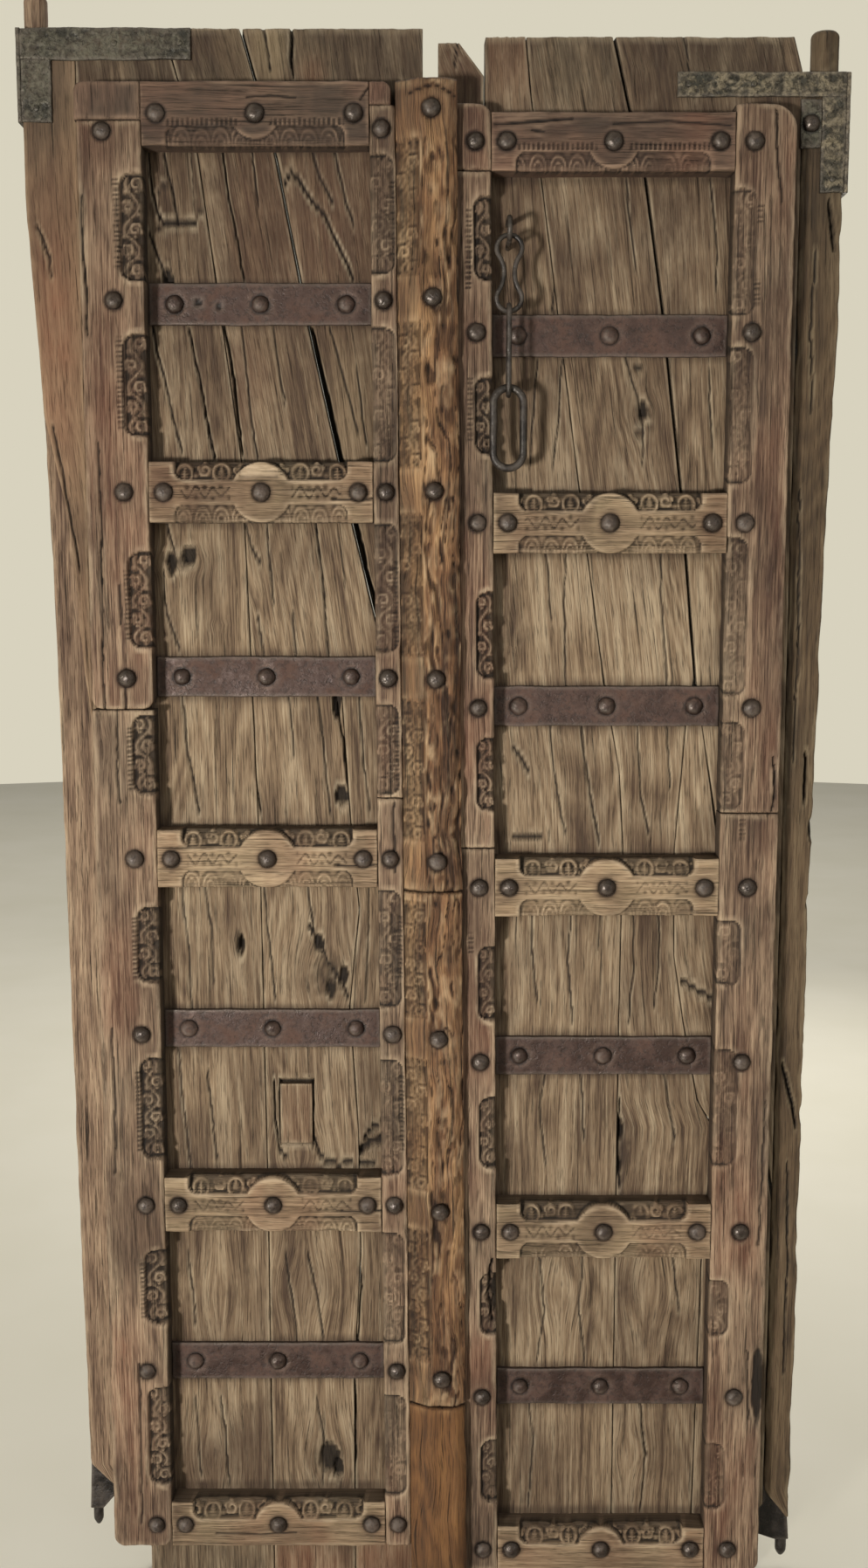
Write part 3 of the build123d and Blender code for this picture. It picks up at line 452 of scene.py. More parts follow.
def put_mesh(name: str, points: Array, faces: Faces, layers: dict[str, Array]) -> bpy.types.Mesh:
    """Writes a mesh from whole arrays.

    Args:
        name: the mesh's name.
        points: vertices in millimetres as x, y, z.
        faces: arrays of corner numbers, one row a face, each with whether it is shaded smooth.
        layers: values a vertex, as float triples.
    """
    mesh = bpy.data.meshes.new(name)
    mesh.vertices.add(len(points))
    mesh.vertices.foreach_set("co", (points / 1000.0).astype(np.float32).ravel())
    corners = np.concatenate([rows.ravel() for rows, _ in faces])
    sizes = np.concatenate([np.full(len(rows), rows.shape[1]) for rows, _ in faces])
    flags = np.concatenate([np.full(len(rows), is_smooth) for rows, is_smooth in faces])
    mesh.loops.add(len(corners))
    mesh.loops.foreach_set("vertex_index", corners.astype(np.int32))
    mesh.polygons.add(len(sizes))
    starts = np.concatenate([[0], np.cumsum(sizes)[:-1]])
    mesh.polygons.foreach_set("loop_start", starts.astype(np.int32))
    mesh.polygons.foreach_set("loop_total", sizes.astype(np.int32))
    mesh.polygons.foreach_set("use_smooth", flags)
    for layer, values in layers.items():
        attribute = mesh.attributes.new(layer, "FLOAT_VECTOR", "POINT")
        attribute.data.foreach_set("vector", values.astype(np.float32).ravel())
    mesh.update(calc_edges=True)
    mesh.validate()
    return mesh


@dataclass
class Shell:
    """Vertices, faces and marks of one closed form before it is written into a mesh."""

    points: Array
    faces: Faces
    grain: Array
    marks: Array
    tone: Optional[Array] = None

    def __post_init__(self) -> None:
        """Gives a form without tones of its own plain ones."""
        if self.tone is None:
            self.tone = np.zeros_like(self.marks)

    def moved(self, first: int) -> Faces:
        """The faces with their corner numbers raised by the vertices that come before."""
        return [(rows + first, is_smooth) for rows, is_smooth in self.faces]


def joined(name: str, shells: Sequence[Shell]) -> bpy.types.Mesh:
    """One mesh from several closed forms."""
    faces, first = [], 0
    for shell in shells:
        faces += shell.moved(first)
        first += len(shell.points)
    points, grain, marks, tone = (np.concatenate([getattr(shell, values) for shell in shells])
                                  for values in ("points", "grain", "marks", "tone"))
    low, high = 1000.0 * np.array(CAD_BOX)
    return put_mesh(name, np.clip(points, low, high), faces, {"grain": grain, "marks": marks, "tone": tone})


def ringed(count: int, sides: int, inward: bool = False) -> tuple[Array, Array]:
    """Numbers of vertices in rings, and the faces between each ring and the next.

    Args:
        count: number of rings.
        sides: vertices in a ring.
        inward: whether the corners run the other way round.
    """
    f = np.arange(count * sides).reshape(count, sides)
    g = np.roll(f, -1, axis=1)
    corners = [f[:-1], f[1:], g[1:], g[:-1]] if inward else [f[:-1], g[:-1], g[1:], f[1:]]
    return f, np.stack(corners, -1)


def block(relief: Relief, back: float, upright: bool, skip: tuple[int, int], back_x: Optional[Array] = None,
          offset: float = 0.0, back_noise: float = 0.6) -> Shell:
    """A closed block: the relief in front, a plainer grid behind, and flat sides between them.

    Args:
        relief: the front; its rows less one and columns less one are multiples of skip.
        back: depth of the back.
        upright: whether the grain runs up, not across.
        skip: how many front rows and columns one back cell spans.
        back_x: x of the back grid; without it the back lies straight behind the front.
        offset: moves the grain pattern, so that no two pieces share it.
        back_noise: unevenness of the back.
    """
    rows, columns = relief.x.shape
    j, k = skip
    front = np.stack([relief.x, FACE_Y - relief.height, relief.z], -1).reshape(-1, 3)
    coarse_x, coarse_z = relief.x[::j, ::k], relief.z[::j, ::k]
    uneven = back_noise * Noise(int(abs(offset)) + 3).layers(coarse_x / 25.0, coarse_z / 120.0, 2)
    depth = np.maximum(back, back + back_noise * 0.5 + uneven)
    behind = coarse_x if back_x is None else back_x[::j, ::k]
    behind = np.stack([behind, FACE_Y - depth, coarse_z], -1)
    back_rows, back_columns = behind.shape[:2]
    points = np.concatenate([front, behind.reshape(-1, 3)])
    f = np.arange(rows * columns).reshape(rows, columns)
    b = rows * columns + np.arange(back_rows * back_columns).reshape(back_rows, back_columns)
    face = np.stack([f[:-1, :-1], f[:-1, 1:], f[1:, 1:], f[1:, :-1]], -1).reshape(-1, 4)
    rear = np.stack([b[:-1, :-1], b[1:, :-1], b[1:, 1:], b[:-1, 1:]], -1).reshape(-1, 4)
    up = np.arange(back_rows - 1)[:, None] * j + np.arange(j + 1)
    side = np.arange(back_columns - 1)[:, None] * k + np.arange(k + 1)
    left = np.concatenate([b[:-1, :1], f[up, 0], b[1:, :1]], 1)
    right = np.concatenate([b[:-1, -1:], f[up, -1], b[1:, -1:]], 1)[:, ::-1]
    top = np.concatenate([b[-1, :-1, None], f[-1][side], b[-1, 1:, None]], 1)
    foot = np.concatenate([b[0, :-1, None], f[0][side], b[0, 1:, None]], 1)[:, ::-1]
    across, along = (relief.x + relief.swirl, relief.z) if upright else (relief.z + relief.swirl, relief.x)
    grain_front = np.stack([across, relief.height, along], -1).reshape(-1, 3)
    grain_back = np.stack([across[::j, ::k] + 300.0, depth - 25.0, along[::j, ::k]], -1).reshape(-1, 3)
    grain = (np.concatenate([grain_front, grain_back]) + [offset * 3.1, 0, offset * 7.7]) / 1000.0
    marks_front = np.stack([relief.cavity, relief.wear, relief.stain], -1).reshape(-1, 3)
    marks_back = np.zeros((back_rows, back_columns, 3)) + [0.1, 0, 0.15]
    marks_back[:, [0, -1], 0] = 0.75
    marks_back[..., 2] += 0.25 + 0.5 * Noise(int(abs(offset)) + 4).layers(coarse_x / 80.0, coarse_z / 300.0, 3)
    marks = np.concatenate([marks_front, np.clip(marks_back, 0, 1).reshape(-1, 3)])
    tone = np.stack([relief.green, relief.pale, relief.red], -1)
    tone = np.concatenate([tone.reshape(-1, 3), 0.4 * tone[::j, ::k].reshape(-1, 3)])
    return Shell(points, [(face, True), (rear, True), (left, False), (right, False), (top, False),
        (foot, False)], grain, marks, tone)


class Graph:
    """Short ways to lay shader nodes in one tree."""

    def __init__(self, tree: bpy.types.NodeTree) -> None:
        self.tree = tree

    def node(self, kind: str, inputs: Optional[dict] = None, **settings) -> bpy.types.Node:
        """A node with its settings and with values or links in its inputs."""
        node = self.tree.nodes.new(kind)
        for key, value in settings.items():
            setattr(node, key, value)
        for key, value in (inputs or {}).items():
            if isinstance(value, bpy.types.NodeSocket):
                self.tree.links.new(value, node.inputs[key])
            else:
                node.inputs[key].default_value = value
        return node

    def math(self, operation: str, a, b=0.0, clamp: bool = False) -> bpy.types.NodeSocket:
        """The result of a Math node."""
        return self.node("ShaderNodeMath", {0: a, 1: b}, operation=operation, use_clamp=clamp).outputs[0]

    def times(self, a, b, clamp: bool = False) -> bpy.types.NodeSocket:
        """The product of two values."""
        return self.math("MULTIPLY", a, b, clamp)

    def plus(self, a, b) -> bpy.types.NodeSocket:
        """The sum of two values."""
        return self.math("ADD", a, b)

    def minus(self, a, b) -> bpy.types.NodeSocket:
        """The difference of two values."""
        return self.math("SUBTRACT", a, b)

    def link(self, output: bpy.types.NodeSocket, target: bpy.types.NodeSocket) -> None:
        """Leads an output into an input."""
        self.tree.links.new(output, target)

    def layer(self, name: str) -> bpy.types.NodeSocket:
        """A layer of the mesh's own values."""
        return self.node("ShaderNodeAttribute", attribute_name=name).outputs["Vector"]

    def parts(self, vector: bpy.types.NodeSocket):
        """The three parts of a vector."""
        return self.node("ShaderNodeSeparateXYZ", {0: vector}).outputs

    def group(self, name: str, **inputs):
        """The outputs of a shared node group whose inputs are filled."""
        return self.node("ShaderNodeGroup", inputs, node_tree=GROUPS[name]).outputs

    def bump(self, height: bpy.types.NodeSocket, distance: float) -> bpy.types.NodeSocket:
        """The normal that a height gives."""
        inputs = {"Height": height, "Distance": distance, "Strength": 0.9}
        return self.node("ShaderNodeBump", inputs).outputs[0]

    def mix(self, share, a, b, blend: str = "MIX") -> bpy.types.NodeSocket:
        """The result of a colour mix."""
        node = self.node("ShaderNodeMix", {0: share, 6: a, 7: b}, data_type="RGBA", blend_type=blend)
        return node.outputs[2]

    def spread(self, value, low: float, high: float, to_low: float = 0.0, to_high: float = 1.0):
        """A value mapped from one range to another and clamped."""
        inputs = {"Value": value, "From Min": low, "From Max": high, "To Min": to_low, "To Max": to_high}
        return self.node("ShaderNodeMapRange", inputs).outputs[0]

    def noise(self, vector, scale: tuple[float, float, float], detail: float = 3.0, rough: float = 0.55,
              distortion: float = 0.0) -> bpy.types.NodeSocket:
        """Noise whose pattern is drawn out by a scale along each axis, in cycles a metre."""
        mapping = self.node("ShaderNodeMapping", {"Vector": vector, "Scale": scale})
        inputs = {"Vector": mapping.outputs[0], "Scale": 1.0, "Detail": detail, "Roughness": rough,
                  "Distortion": distortion}
        return self.node("ShaderNodeTexNoise", inputs).outputs[0]


def new_group(name: str, inputs: Sequence[tuple[str, str]], outputs: Sequence[tuple[str, str]]):
    """An empty node group with named sockets, and its input and output nodes."""
    tree = bpy.data.node_groups.new(name, "ShaderNodeTree")
    for label, kind in inputs:
        tree.interface.new_socket(label, in_out="INPUT", socket_type=kind)
    for label, kind in outputs:
        tree.interface.new_socket(label, in_out="OUTPUT", socket_type=kind)
    graph = Graph(tree)
    return graph, graph.node("NodeGroupInput").outputs, graph.node("NodeGroupOutput").inputs


def shade(red: int, green: int, blue: int) -> tuple[float, float, float, float]:
    """A display colour from 0 to 255 as the linear colour that shaders take."""
    return tuple(((value / 255 + 0.055) / 1.055) ** 2.4 for value in (red, green, blue)) + (1.0,)


VECTOR, COLOR, FLOAT = "NodeSocketVector", "NodeSocketColor", "NodeSocketFloat"


def weathered_grain() -> bpy.types.NodeTree:
    """Old dry wood: rings as contour lines of slow noise, fibres, open pores and grey weathering."""
    graph, given, result = new_group("weathered_grain",
        [("Grain", VECTOR), ("Pale", COLOR), ("Middle", COLOR), ("Dark", COLOR), ("Figure", FLOAT),
        ("Fibre", FLOAT)], [("Color", COLOR), ("Height", FLOAT), ("Rough", FLOAT)])
    at = given["Grain"]
    slow = graph.noise(at, (9.0, 9.0, 1.5), 1.5, 0.45, 0.35)
    rings = graph.math("PINGPONG", graph.times(slow, 17.0), 0.5)
    rings = graph.times(graph.times(rings, 2.0), given["Figure"])
    broad = graph.noise(at, (24.0, 22.0, 2.6), 5.0, 0.62, 0.3)
    fibre = graph.noise(at, (520.0, 200.0, 11.0), 3.0, 0.7)
    streak = graph.noise(at, (150.0, 60.0, 3.0), 4.0, 0.65, 0.1)
    pores = graph.spread(graph.noise(at, (900.0, 300.0, 30.0), 2.0, 0.6), 0.56, 0.68)
    checks = graph.spread(graph.noise(at, (260.0, 110.0, 5.5), 5.0, 0.7, 0.25), 0.6, 0.68)
    fine = graph.times(graph.minus(fibre, 0.5), given["Fibre"])
    tone = graph.plus(graph.times(broad, 1.2), graph.times(streak, 0.9))
    tone = graph.plus(tone, graph.times(rings, 0.26))
    tone = graph.plus(tone, fine)
    pale = graph.spread(tone, 1.14, 1.5)
    dark = graph.spread(tone, 1.14, 0.8)
    color = graph.mix(pale, given["Middle"], given["Pale"])
    color = graph.mix(dark, color, given["Dark"])
    color = graph.mix(graph.times(pores, 0.65), color, (0.03, 0.02, 0.014, 1.0))
    color = graph.mix(graph.times(checks, 0.92), color, (0.016, 0.011, 0.008, 1.0))
    graph.link(color, result["Color"])
    height = graph.plus(graph.times(fibre, 0.6), graph.times(streak, 0.7))
    height = graph.plus(height, graph.times(rings, 0.25))
    height = graph.minus(height, graph.times(pores, 0.35))
    height = graph.minus(height, graph.times(checks, 1.3))
    graph.link(height, result["Height"])
    graph.link(graph.spread(tone, 0.6, 1.5, 0.72, 0.9), result["Rough"])
    return graph.tree


def age_marks() -> bpy.types.NodeTree:
    """Dirt and painted shade in hollows, rubbed ridges with painted highlights on raised carving, and soft
    stains with painted shade beside the frame, from a piece's own marks broken up by noise.
    """
    graph, given, result = new_group("age_marks", [("Color", COLOR), ("Marks", VECTOR), ("Tone", VECTOR),
        ("Grain", VECTOR), ("Rubbed", COLOR), ("Stain", COLOR), ("Dirt", COLOR)],
        [("Color", COLOR), ("Sheen", FLOAT)])
    marks = graph.parts(given["Marks"])
    patch = graph.noise(given["Grain"], (38.0, 38.0, 14.0), 4.0, 0.62)
    tones = graph.parts(given["Tone"])
    broken = graph.spread(patch, 0.3, 0.62, 0.35, 1.0)
    color = given["Color"]
    for number, tint in enumerate(((50, 60, 50), (192, 168, 128), (124, 70, 50))):
        share = graph.times(graph.times(tones[number], broken), 0.8, True)
        tinted = graph.mix(0.74, color, shade(*tint))
        color = graph.mix(share, color, tinted)
    # stains, together with the painted shade beside the frame, darken the colour
    stained = graph.times(marks[2], graph.spread(patch, 0.25, 0.6, 0.25, 1.0))
    dark = graph.mix(0.8, color, given["Stain"], "MULTIPLY")
    dark = graph.mix(0.55, dark, given["Stain"])
    color = graph.mix(graph.times(stained, 0.9, True), color, dark)
    smoke = graph.noise(given["Grain"], (8.0, 8.0, 4.5), 4.0, 0.55, 0.5)
    color = graph.mix(graph.spread(smoke, 0.5, 0.7, 0.0, 0.6), color, dark)
    # rubbed wear and painted highlight: the wear marks, including highlights painted on raised carving, pale
    # the colour
    rubbed = graph.times(marks[1], graph.spread(patch, 0.42, 0.62, 0.1, 0.75))
    color = graph.mix(rubbed, color, given["Rubbed"])
    # dirt and painted shade: hollows are darkened towards the near-black colour
    dirt = graph.times(marks[0], 0.93, True)
    color = graph.mix(dirt, color, given["Dirt"])
    graph.link(color, result["Color"])
    graph.link(graph.times(rubbed, 0.16), result["Sheen"])
    return graph.tree


def hammered_iron() -> bpy.types.NodeTree:
    """Forged iron with scale, rust bloom, pitting and hammer dents."""
    graph, given, result = new_group("hammered_iron",
        [("Vector", VECTOR), ("Scale", COLOR), ("Rust", COLOR), ("Bloom", COLOR), ("Pitting", FLOAT),
        ("Rusted", FLOAT), ("Flakes", FLOAT)], [("Color", COLOR), ("Roughness", FLOAT), ("Height", FLOAT),
        ("Bare", FLOAT)])
    at = given["Vector"]
    broad = graph.noise(at, (26.0, 26.0, 26.0), 5.0, 0.6, 0.4)
    grit = graph.noise(at, (420.0, 420.0, 420.0), 4.0, 0.65)
    pits = graph.spread(graph.noise(at, (190.0, 190.0, 190.0), 3.0, 0.6, 0.5), 0.5, 0.68)
    dents = graph.noise(at, (70.0, 70.0, 70.0), 1.5, 0.4)
    rust = graph.times(graph.spread(broad, 0.42, 0.66), given["Rusted"])
    color = graph.mix(rust, given["Scale"], given["Rust"])
    speck = graph.noise(at, (110.0, 110.0, 110.0), 5.0, 0.7, 0.6)
    bloom = graph.times(graph.spread(graph.plus(speck, broad), 0.98, 1.16), given["Pitting"])
    bloom = graph.math("MAXIMUM", bloom, graph.times(given["Flakes"], graph.spread(speck, 0.36, 0.56)))
    color = graph.mix(bloom, color, given["Bloom"])
    color = graph.mix(graph.times(pits, 0.5), color, (0.012, 0.01, 0.009, 1.0))
    graph.link(color, result["Color"])
    graph.link(graph.spread(graph.plus(grit, rust), 0.4, 1.2, 0.4, 0.84), result["Roughness"])
    height = graph.plus(graph.times(dents, 1.4), graph.times(grit, 0.35))
    height = graph.minus(height, graph.times(pits, given["Pitting"]))
    graph.link(height, result["Height"])
    graph.link(graph.spread(rust, 0.6, 0.1, 0.0, 0.45), result["Bare"])
    return graph.tree


MADE: dict[str, bpy.types.Material] = {}
GROUPS = {build.__name__: build() for build in (weathered_grain, age_marks, hammered_iron)}


@dataclass(frozen=True)
class Finish:
    """A finish that becomes a material once and is shared."""

    name: str

    def material(self) -> bpy.types.Material:
        """The finish as a material, made at its first use."""
        if self.name not in MADE:
            MADE[self.name] = material = bpy.data.materials.new(f"worn_{self.name}")
            material.use_nodes = True
            self.lay(Graph(material.node_tree), material.node_tree.nodes["Principled BSDF"].inputs)
        return MADE[self.name]

    def lay(self, graph: Graph, shader) -> None:
        """Lays the finish's nodes and leads them into the shader's inputs."""
        raise NotImplementedError


@dataclass(frozen=True)
class WoodFinish(Finish):
    """A kind of old wood: three grain colours, the colour for rubbed wear and painted highlights, the stain
    colour that also paints shade beside the frame, the colour for dirt and painted shade in hollows, and how
    strong its figure is.
    """

    pale: Rgb
    middle: Rgb
    dark: Rgb
    rubbed: Rgb
    stain: Rgb
    dirt: Rgb = (22, 17, 13)
    figure: float = 1.0
    fibre: float = 0.9
    bump: float = 0.0011

    def lay(self, graph: Graph, shader) -> None:
        """Grain from the mesh's own pattern, aged by the mesh's own marks, which also paint shade in hollows
        and highlights on raised carving.
        """
        grain, marks, tone = (graph.layer(name) for name in ("grain", "marks", "tone"))
        wood = graph.group("weathered_grain", Grain=grain, Pale=shade(*self.pale), Middle=shade(*self.middle),
                           Dark=shade(*self.dark), Figure=self.figure, Fibre=self.fibre)
        age = graph.group("age_marks", Color=wood["Color"], Marks=marks, Tone=tone, Grain=grain,
                          Rubbed=shade(*self.rubbed), Stain=shade(*self.stain), Dirt=shade(*self.dirt))
        graph.link(age["Color"], shader["Base Color"])
        graph.link(graph.minus(wood["Rough"], age["Sheen"]), shader["Roughness"])
        graph.link(graph.bump(wood["Height"], self.bump), shader["Normal"])
        shader["Specular IOR Level"].default_value = 0.28


@dataclass(frozen=True)
class IronFinish(Finish):
    """A kind of forged iron: scale, rust and bloom colours, and how pitted and rusted it is."""

    scale: Rgb
    rust: Rgb
    bloom: Rgb
    pitting: float = 0.4
    rusted: float = 0.8
    bump: float = 0.0009
    gloss: float = 0.0

    def lay(self, graph: Graph, shader) -> None:
        """Hammered iron, rubbed paler on its ridges with a painted highlight on the lit side of each stud, and
        darker in its hollows with dirt and painted shade.
        """
        hollow, ridge, flakes = graph.parts(graph.layer("marks"))
        place = graph.node("ShaderNodeTexCoord").outputs["Object"]
        iron = graph.group("hammered_iron", Vector=place, Scale=shade(*self.scale), Rust=shade(*self.rust),
                           Bloom=shade(*self.bloom), Pitting=self.pitting, Rusted=self.rusted, Flakes=flakes)
        # rubbed wear and painted highlight: ridges, edges and the lit side of each stud dome are paled
        color = graph.mix(graph.times(ridge, 0.4), iron["Color"], shade(128, 118, 108))
        # dirt and painted shade: hollows and the foot of each stud are darkened
        color = graph.mix(graph.times(hollow, 0.9), color, shade(20, 16, 14))
        graph.link(color, shader["Base Color"])
        graph.link(graph.minus(iron["Roughness"], self.gloss), shader["Roughness"])
        graph.link(iron["Bare"], shader["Metallic"])
        graph.link(graph.bump(iron["Height"], self.bump), shader["Normal"])


PANEL_WOOD = WoodFinish("old_panel_wood", (172, 152, 124), (134, 112, 87), (78, 60, 45), (180, 162, 134),
    (80, 61, 49), fibre=1.4, bump=0.0015)
FRAME_WOOD = WoodFinish("old_frame_wood", (177, 152, 124), (136, 111, 89), (74, 55, 44), (186, 163, 134),
    (88, 66, 54), figure=0.6, fibre=1.6, bump=0.002)
RED_WOOD = WoodFinish("old_red_wood", (140, 112, 92), (112, 86, 70), (78, 58, 48), (160, 132, 108),
    (84, 72, 62), figure=0.45)
FACING_WOOD = WoodFinish("old_facing_wood", (158, 130, 102), (130, 104, 80), (92, 68, 52), (170, 146, 116),
    (96, 78, 64), figure=0.6)
STRIP_WOOD = WoodFinish("old_strip_wood", (170, 132, 92), (118, 84, 58), (58, 38, 26), (186, 158, 122),
    (88, 66, 52), (20, 12, 8), 0.6, 1.3, 0.0018)
NEW_WOOD = WoodFinish("new_orange_wood", (136, 98, 60), (110, 76, 47), (74, 50, 33), (160, 122, 82),
    (90, 66, 46), figure=0.8, fibre=0.7)
GREY_WOOD = WoodFinish("grey_pivot_wood", (122, 104, 80), (94, 76, 56), (56, 44, 33), (146, 128, 100),
    (66, 56, 44), figure=0.6)
STRAP_IRON = IronFinish("strap_iron", (60, 43, 37), (78, 53, 42), (90, 69, 58), 0.4, 0.9, 0.0008)
STRAP_STUD_IRON = IronFinish("strap_stud_iron", (60, 45, 39), (78, 55, 44), (98, 78, 66), 0.4, 0.8, 0.0009,
    0.06)
STUD_IRON = IronFinish("stud_iron", (56, 46, 40), (72, 55, 44), (104, 90, 78), 0.4, 0.7, 0.0009, 0.16)
CORNER_IRON = IronFinish("corner_iron", (50, 48, 41), (84, 70, 53), (104, 100, 84), 0.75, 0.8, 0.0014)
FLAKED_IRON = IronFinish("flaked_corner_iron", (52, 50, 42), (84, 72, 54), (132, 120, 97), 0.8, 0.8, 0.0016)
CHAIN_IRON = IronFinish("chain_iron", (32, 28, 26), (50, 40, 33), (78, 68, 58), 0.35, 0.7, 0.0009, 0.14)


def install(node: str, shells: Sequence[Shell], finish: Finish, more: Sequence[str] = ()) -> None:
    """Puts one mesh of closed forms in place of a CAD node, on that node's body.

    Args:
        node: the CAD node.
        shells: the closed forms.
        finish: the wood or iron finish.
        more: further nodes that the mesh stands for.
    """
    mesh = joined(node, shells)
    piece = bpy.data.objects.new(f"{node}_worn", mesh)
    bpy.context.scene.collection.objects.link(piece)
    mesh.materials.append(finish.material())
    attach(piece, frame["nodes"][node]["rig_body"])
    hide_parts(node, *more)
    LOG.info("%s: %d faces", node, len(mesh.polygons))


def edge_at(line: Path, z: Array) -> Array:
    """Place of an edge at heights, between corners given in any order."""
    corners = sorted(line, key=lambda corner: corner[1])
    return np.interp(z, [corner[1] for corner in corners], [corner[0] for corner in corners])


@dataclass
class Board:
    """A plank between two leaning edges, with a weathered face and the damage that it carries."""

    node: str
    left: Path
    right: Path
    low: float
    high: float
    seed: int
    front: float = 0.0
    back: float = PLANK_BACK
    column_step: float = 2.0
    row_step: float = 7.4
    edge_radius: float = 1.5
    strength: float = 0.42
    ragged_top: float = 1.2
    ragged_side: float = 0.5
    flare: tuple[float, float] = (0.5, 0.5)
    damage: list = field(default_factory=list)

    def relief(self) -> Relief:
        """The face: x runs between the two edges and z between foot and top, with noise on all of them."""
        noise = Noise(self.seed)
        heights = np.linspace(self.low, self.high, 40)
        wide = float(np.max(edge_at(self.right, heights) - edge_at(self.left, heights)))
        across = stations(wide, self.column_step, 4)
        up = stations(self.high - self.low, self.row_step, 4)
        s, t = np.meshgrid(across, up)
        tall = self.high - self.low
        z = self.low + tall * t
        z = z + self.ragged_top * noise.layers(s * wide / 14.0, 3.3, 3) * smooth((t - 0.5) * 2) ** 4
        left, right = edge_at(self.left, z), edge_at(self.right, z)
        left = left + self.ragged_side * noise.layers(z / 40.0, 1.5, 4)
        right = right + self.ragged_side * noise.layers(z / 40.0, 8.5, 4)
        x = left + (right - left) * s
        relief = Relief(x, z, self.front)
        relief.suffer(self.damage, noise)
        relief.fibres(noise, self.strength)
        radius = self.edge_radius * (1 + 0.5 * noise.at(z / 30.0, (self.low + self.high) / 2))
        relief.round_edges(radius, x - left, right - x, tall * t, tall * (1 - t))
        relief.height = np.clip(relief.height, self.back + LEAST_THICK, self.front + FIBRE_RISE)
        relief.rust(self.front)
        if self.back == PLANK_BACK:
            self.grime(relief, noise)
        relief.settle(1, 1.2)
        relief.back_x = edge_at(self.left, z) - self.flare[0] + (right - left + sum(self.flare)) * s
        relief.swirl += 9.0 * noise.layers(x / 170.0, z / 420.0,
            2) - (edge_at(self.left, z) + edge_at(self.right, z)) / 2
        return relief

    @staticmethod
    def grime(relief: Relief, noise: Noise) -> None:
        """Dirt and painted shade beside the rails, straps and stiles that lie on the planks, and the planks
        darker high up and low down.
        """
        rows = LEFT_ROWS if relief.x.mean() < 0 else RIGHT_ROWS
        uneven = 1 + 0.8 * noise.layers(relief.x / 25.0, relief.z / 25.0, 3)
        # painted shade and dirt: dark bands hugging each rail and strap, with a thin dark line at their edges
        for number, row in enumerate(rows):
            reach = STRAP_HALF if number % 2 else RAIL_HALF
            away = np.abs(relief.z - row) - reach
            relief.mark("stain", 0.75 * bell(np.maximum(away, 0), 9.0) * uneven)
            relief.mark("cavity", 0.35 * bell(np.maximum(away, 0), 3.5))
        # painted shade and dirt: dark bands beside the stiles
        edges = (-361.0, -73.0) if relief.x.mean() < 0 else (80.0, 372.0)
        for edge in edges:
            away = np.abs(relief.x / PLANK_SPREAD - edge)
            relief.mark("stain", 0.7 * bell(away, 13.0) * uneven)
        # the planks darken higher up and lower down
        sooty = 1.15 if relief.x.mean() < 0 else 0.9
        smoked = smooth((relief.z - 1300.0) / 500.0) * (sooty + 0.9 * noise.layers(relief.x / 70.0,
            relief.z / 160.0, 4))
        relief.mark("stain", np.clip(smoked, 0, 1))
        damp = smooth((1150.0 - relief.z) / 300.0) * (0.3 + 0.8 * noise.layers(relief.x / 80.0, relief.z / 90.0,
            3))
        relief.mark("stain", np.clip(damp, 0, 1))
        if relief.x.mean() < 0:
            mossy = smooth((relief.z - 1930.0) / 30.0) * (0.75 + 1.2 * noise.layers(relief.x / 40.0,
                relief.z / 40.0, 3))
            relief.mark("green", np.clip(mossy, 0, 1))

    def shell(self) -> Shell:
        """The plank as a closed block."""
        relief = self.relief()
        return block(relief, self.back, True, (4, 4), relief.back_x, self.seed * 13.0)


class Ornament(Enum):
    """The carved patterns of the frame."""

    VINE = "vine"
    SCROLL = "scroll"
    CHIPS = "chips"
    SCALLOPS = "scallops"
    TICKS = "ticks"


def curl(u: Array, v: Array, radius: float, hand: float, turn: float) -> Array:
    """A rolled leaf: a spiral ridge whose phase grows with radius and angle, scalloped at its rim.

    Args:
        u, v: places from the curl's middle.
        radius: reach of the curl.
        hand: 1 or -1 for the way it rolls.
        turn: angle that it starts from.
    """
    r = np.hypot(u, v)
    angle = np.arctan2(v * hand, u) + turn
    rim = radius * (1 + 0.13 * np.cos(5 * angle))
    ridge = 0.5 + 0.5 * np.cos(2 * np.pi * (r / (0.62 * radius) - angle / (2 * np.pi)))
    eye = bell(r, 0.2 * radius)
    return smooth((rim - r) / (0.22 * radius)) * (0.35 + 0.65 * ridge) * (1 - 0.8 * eye)


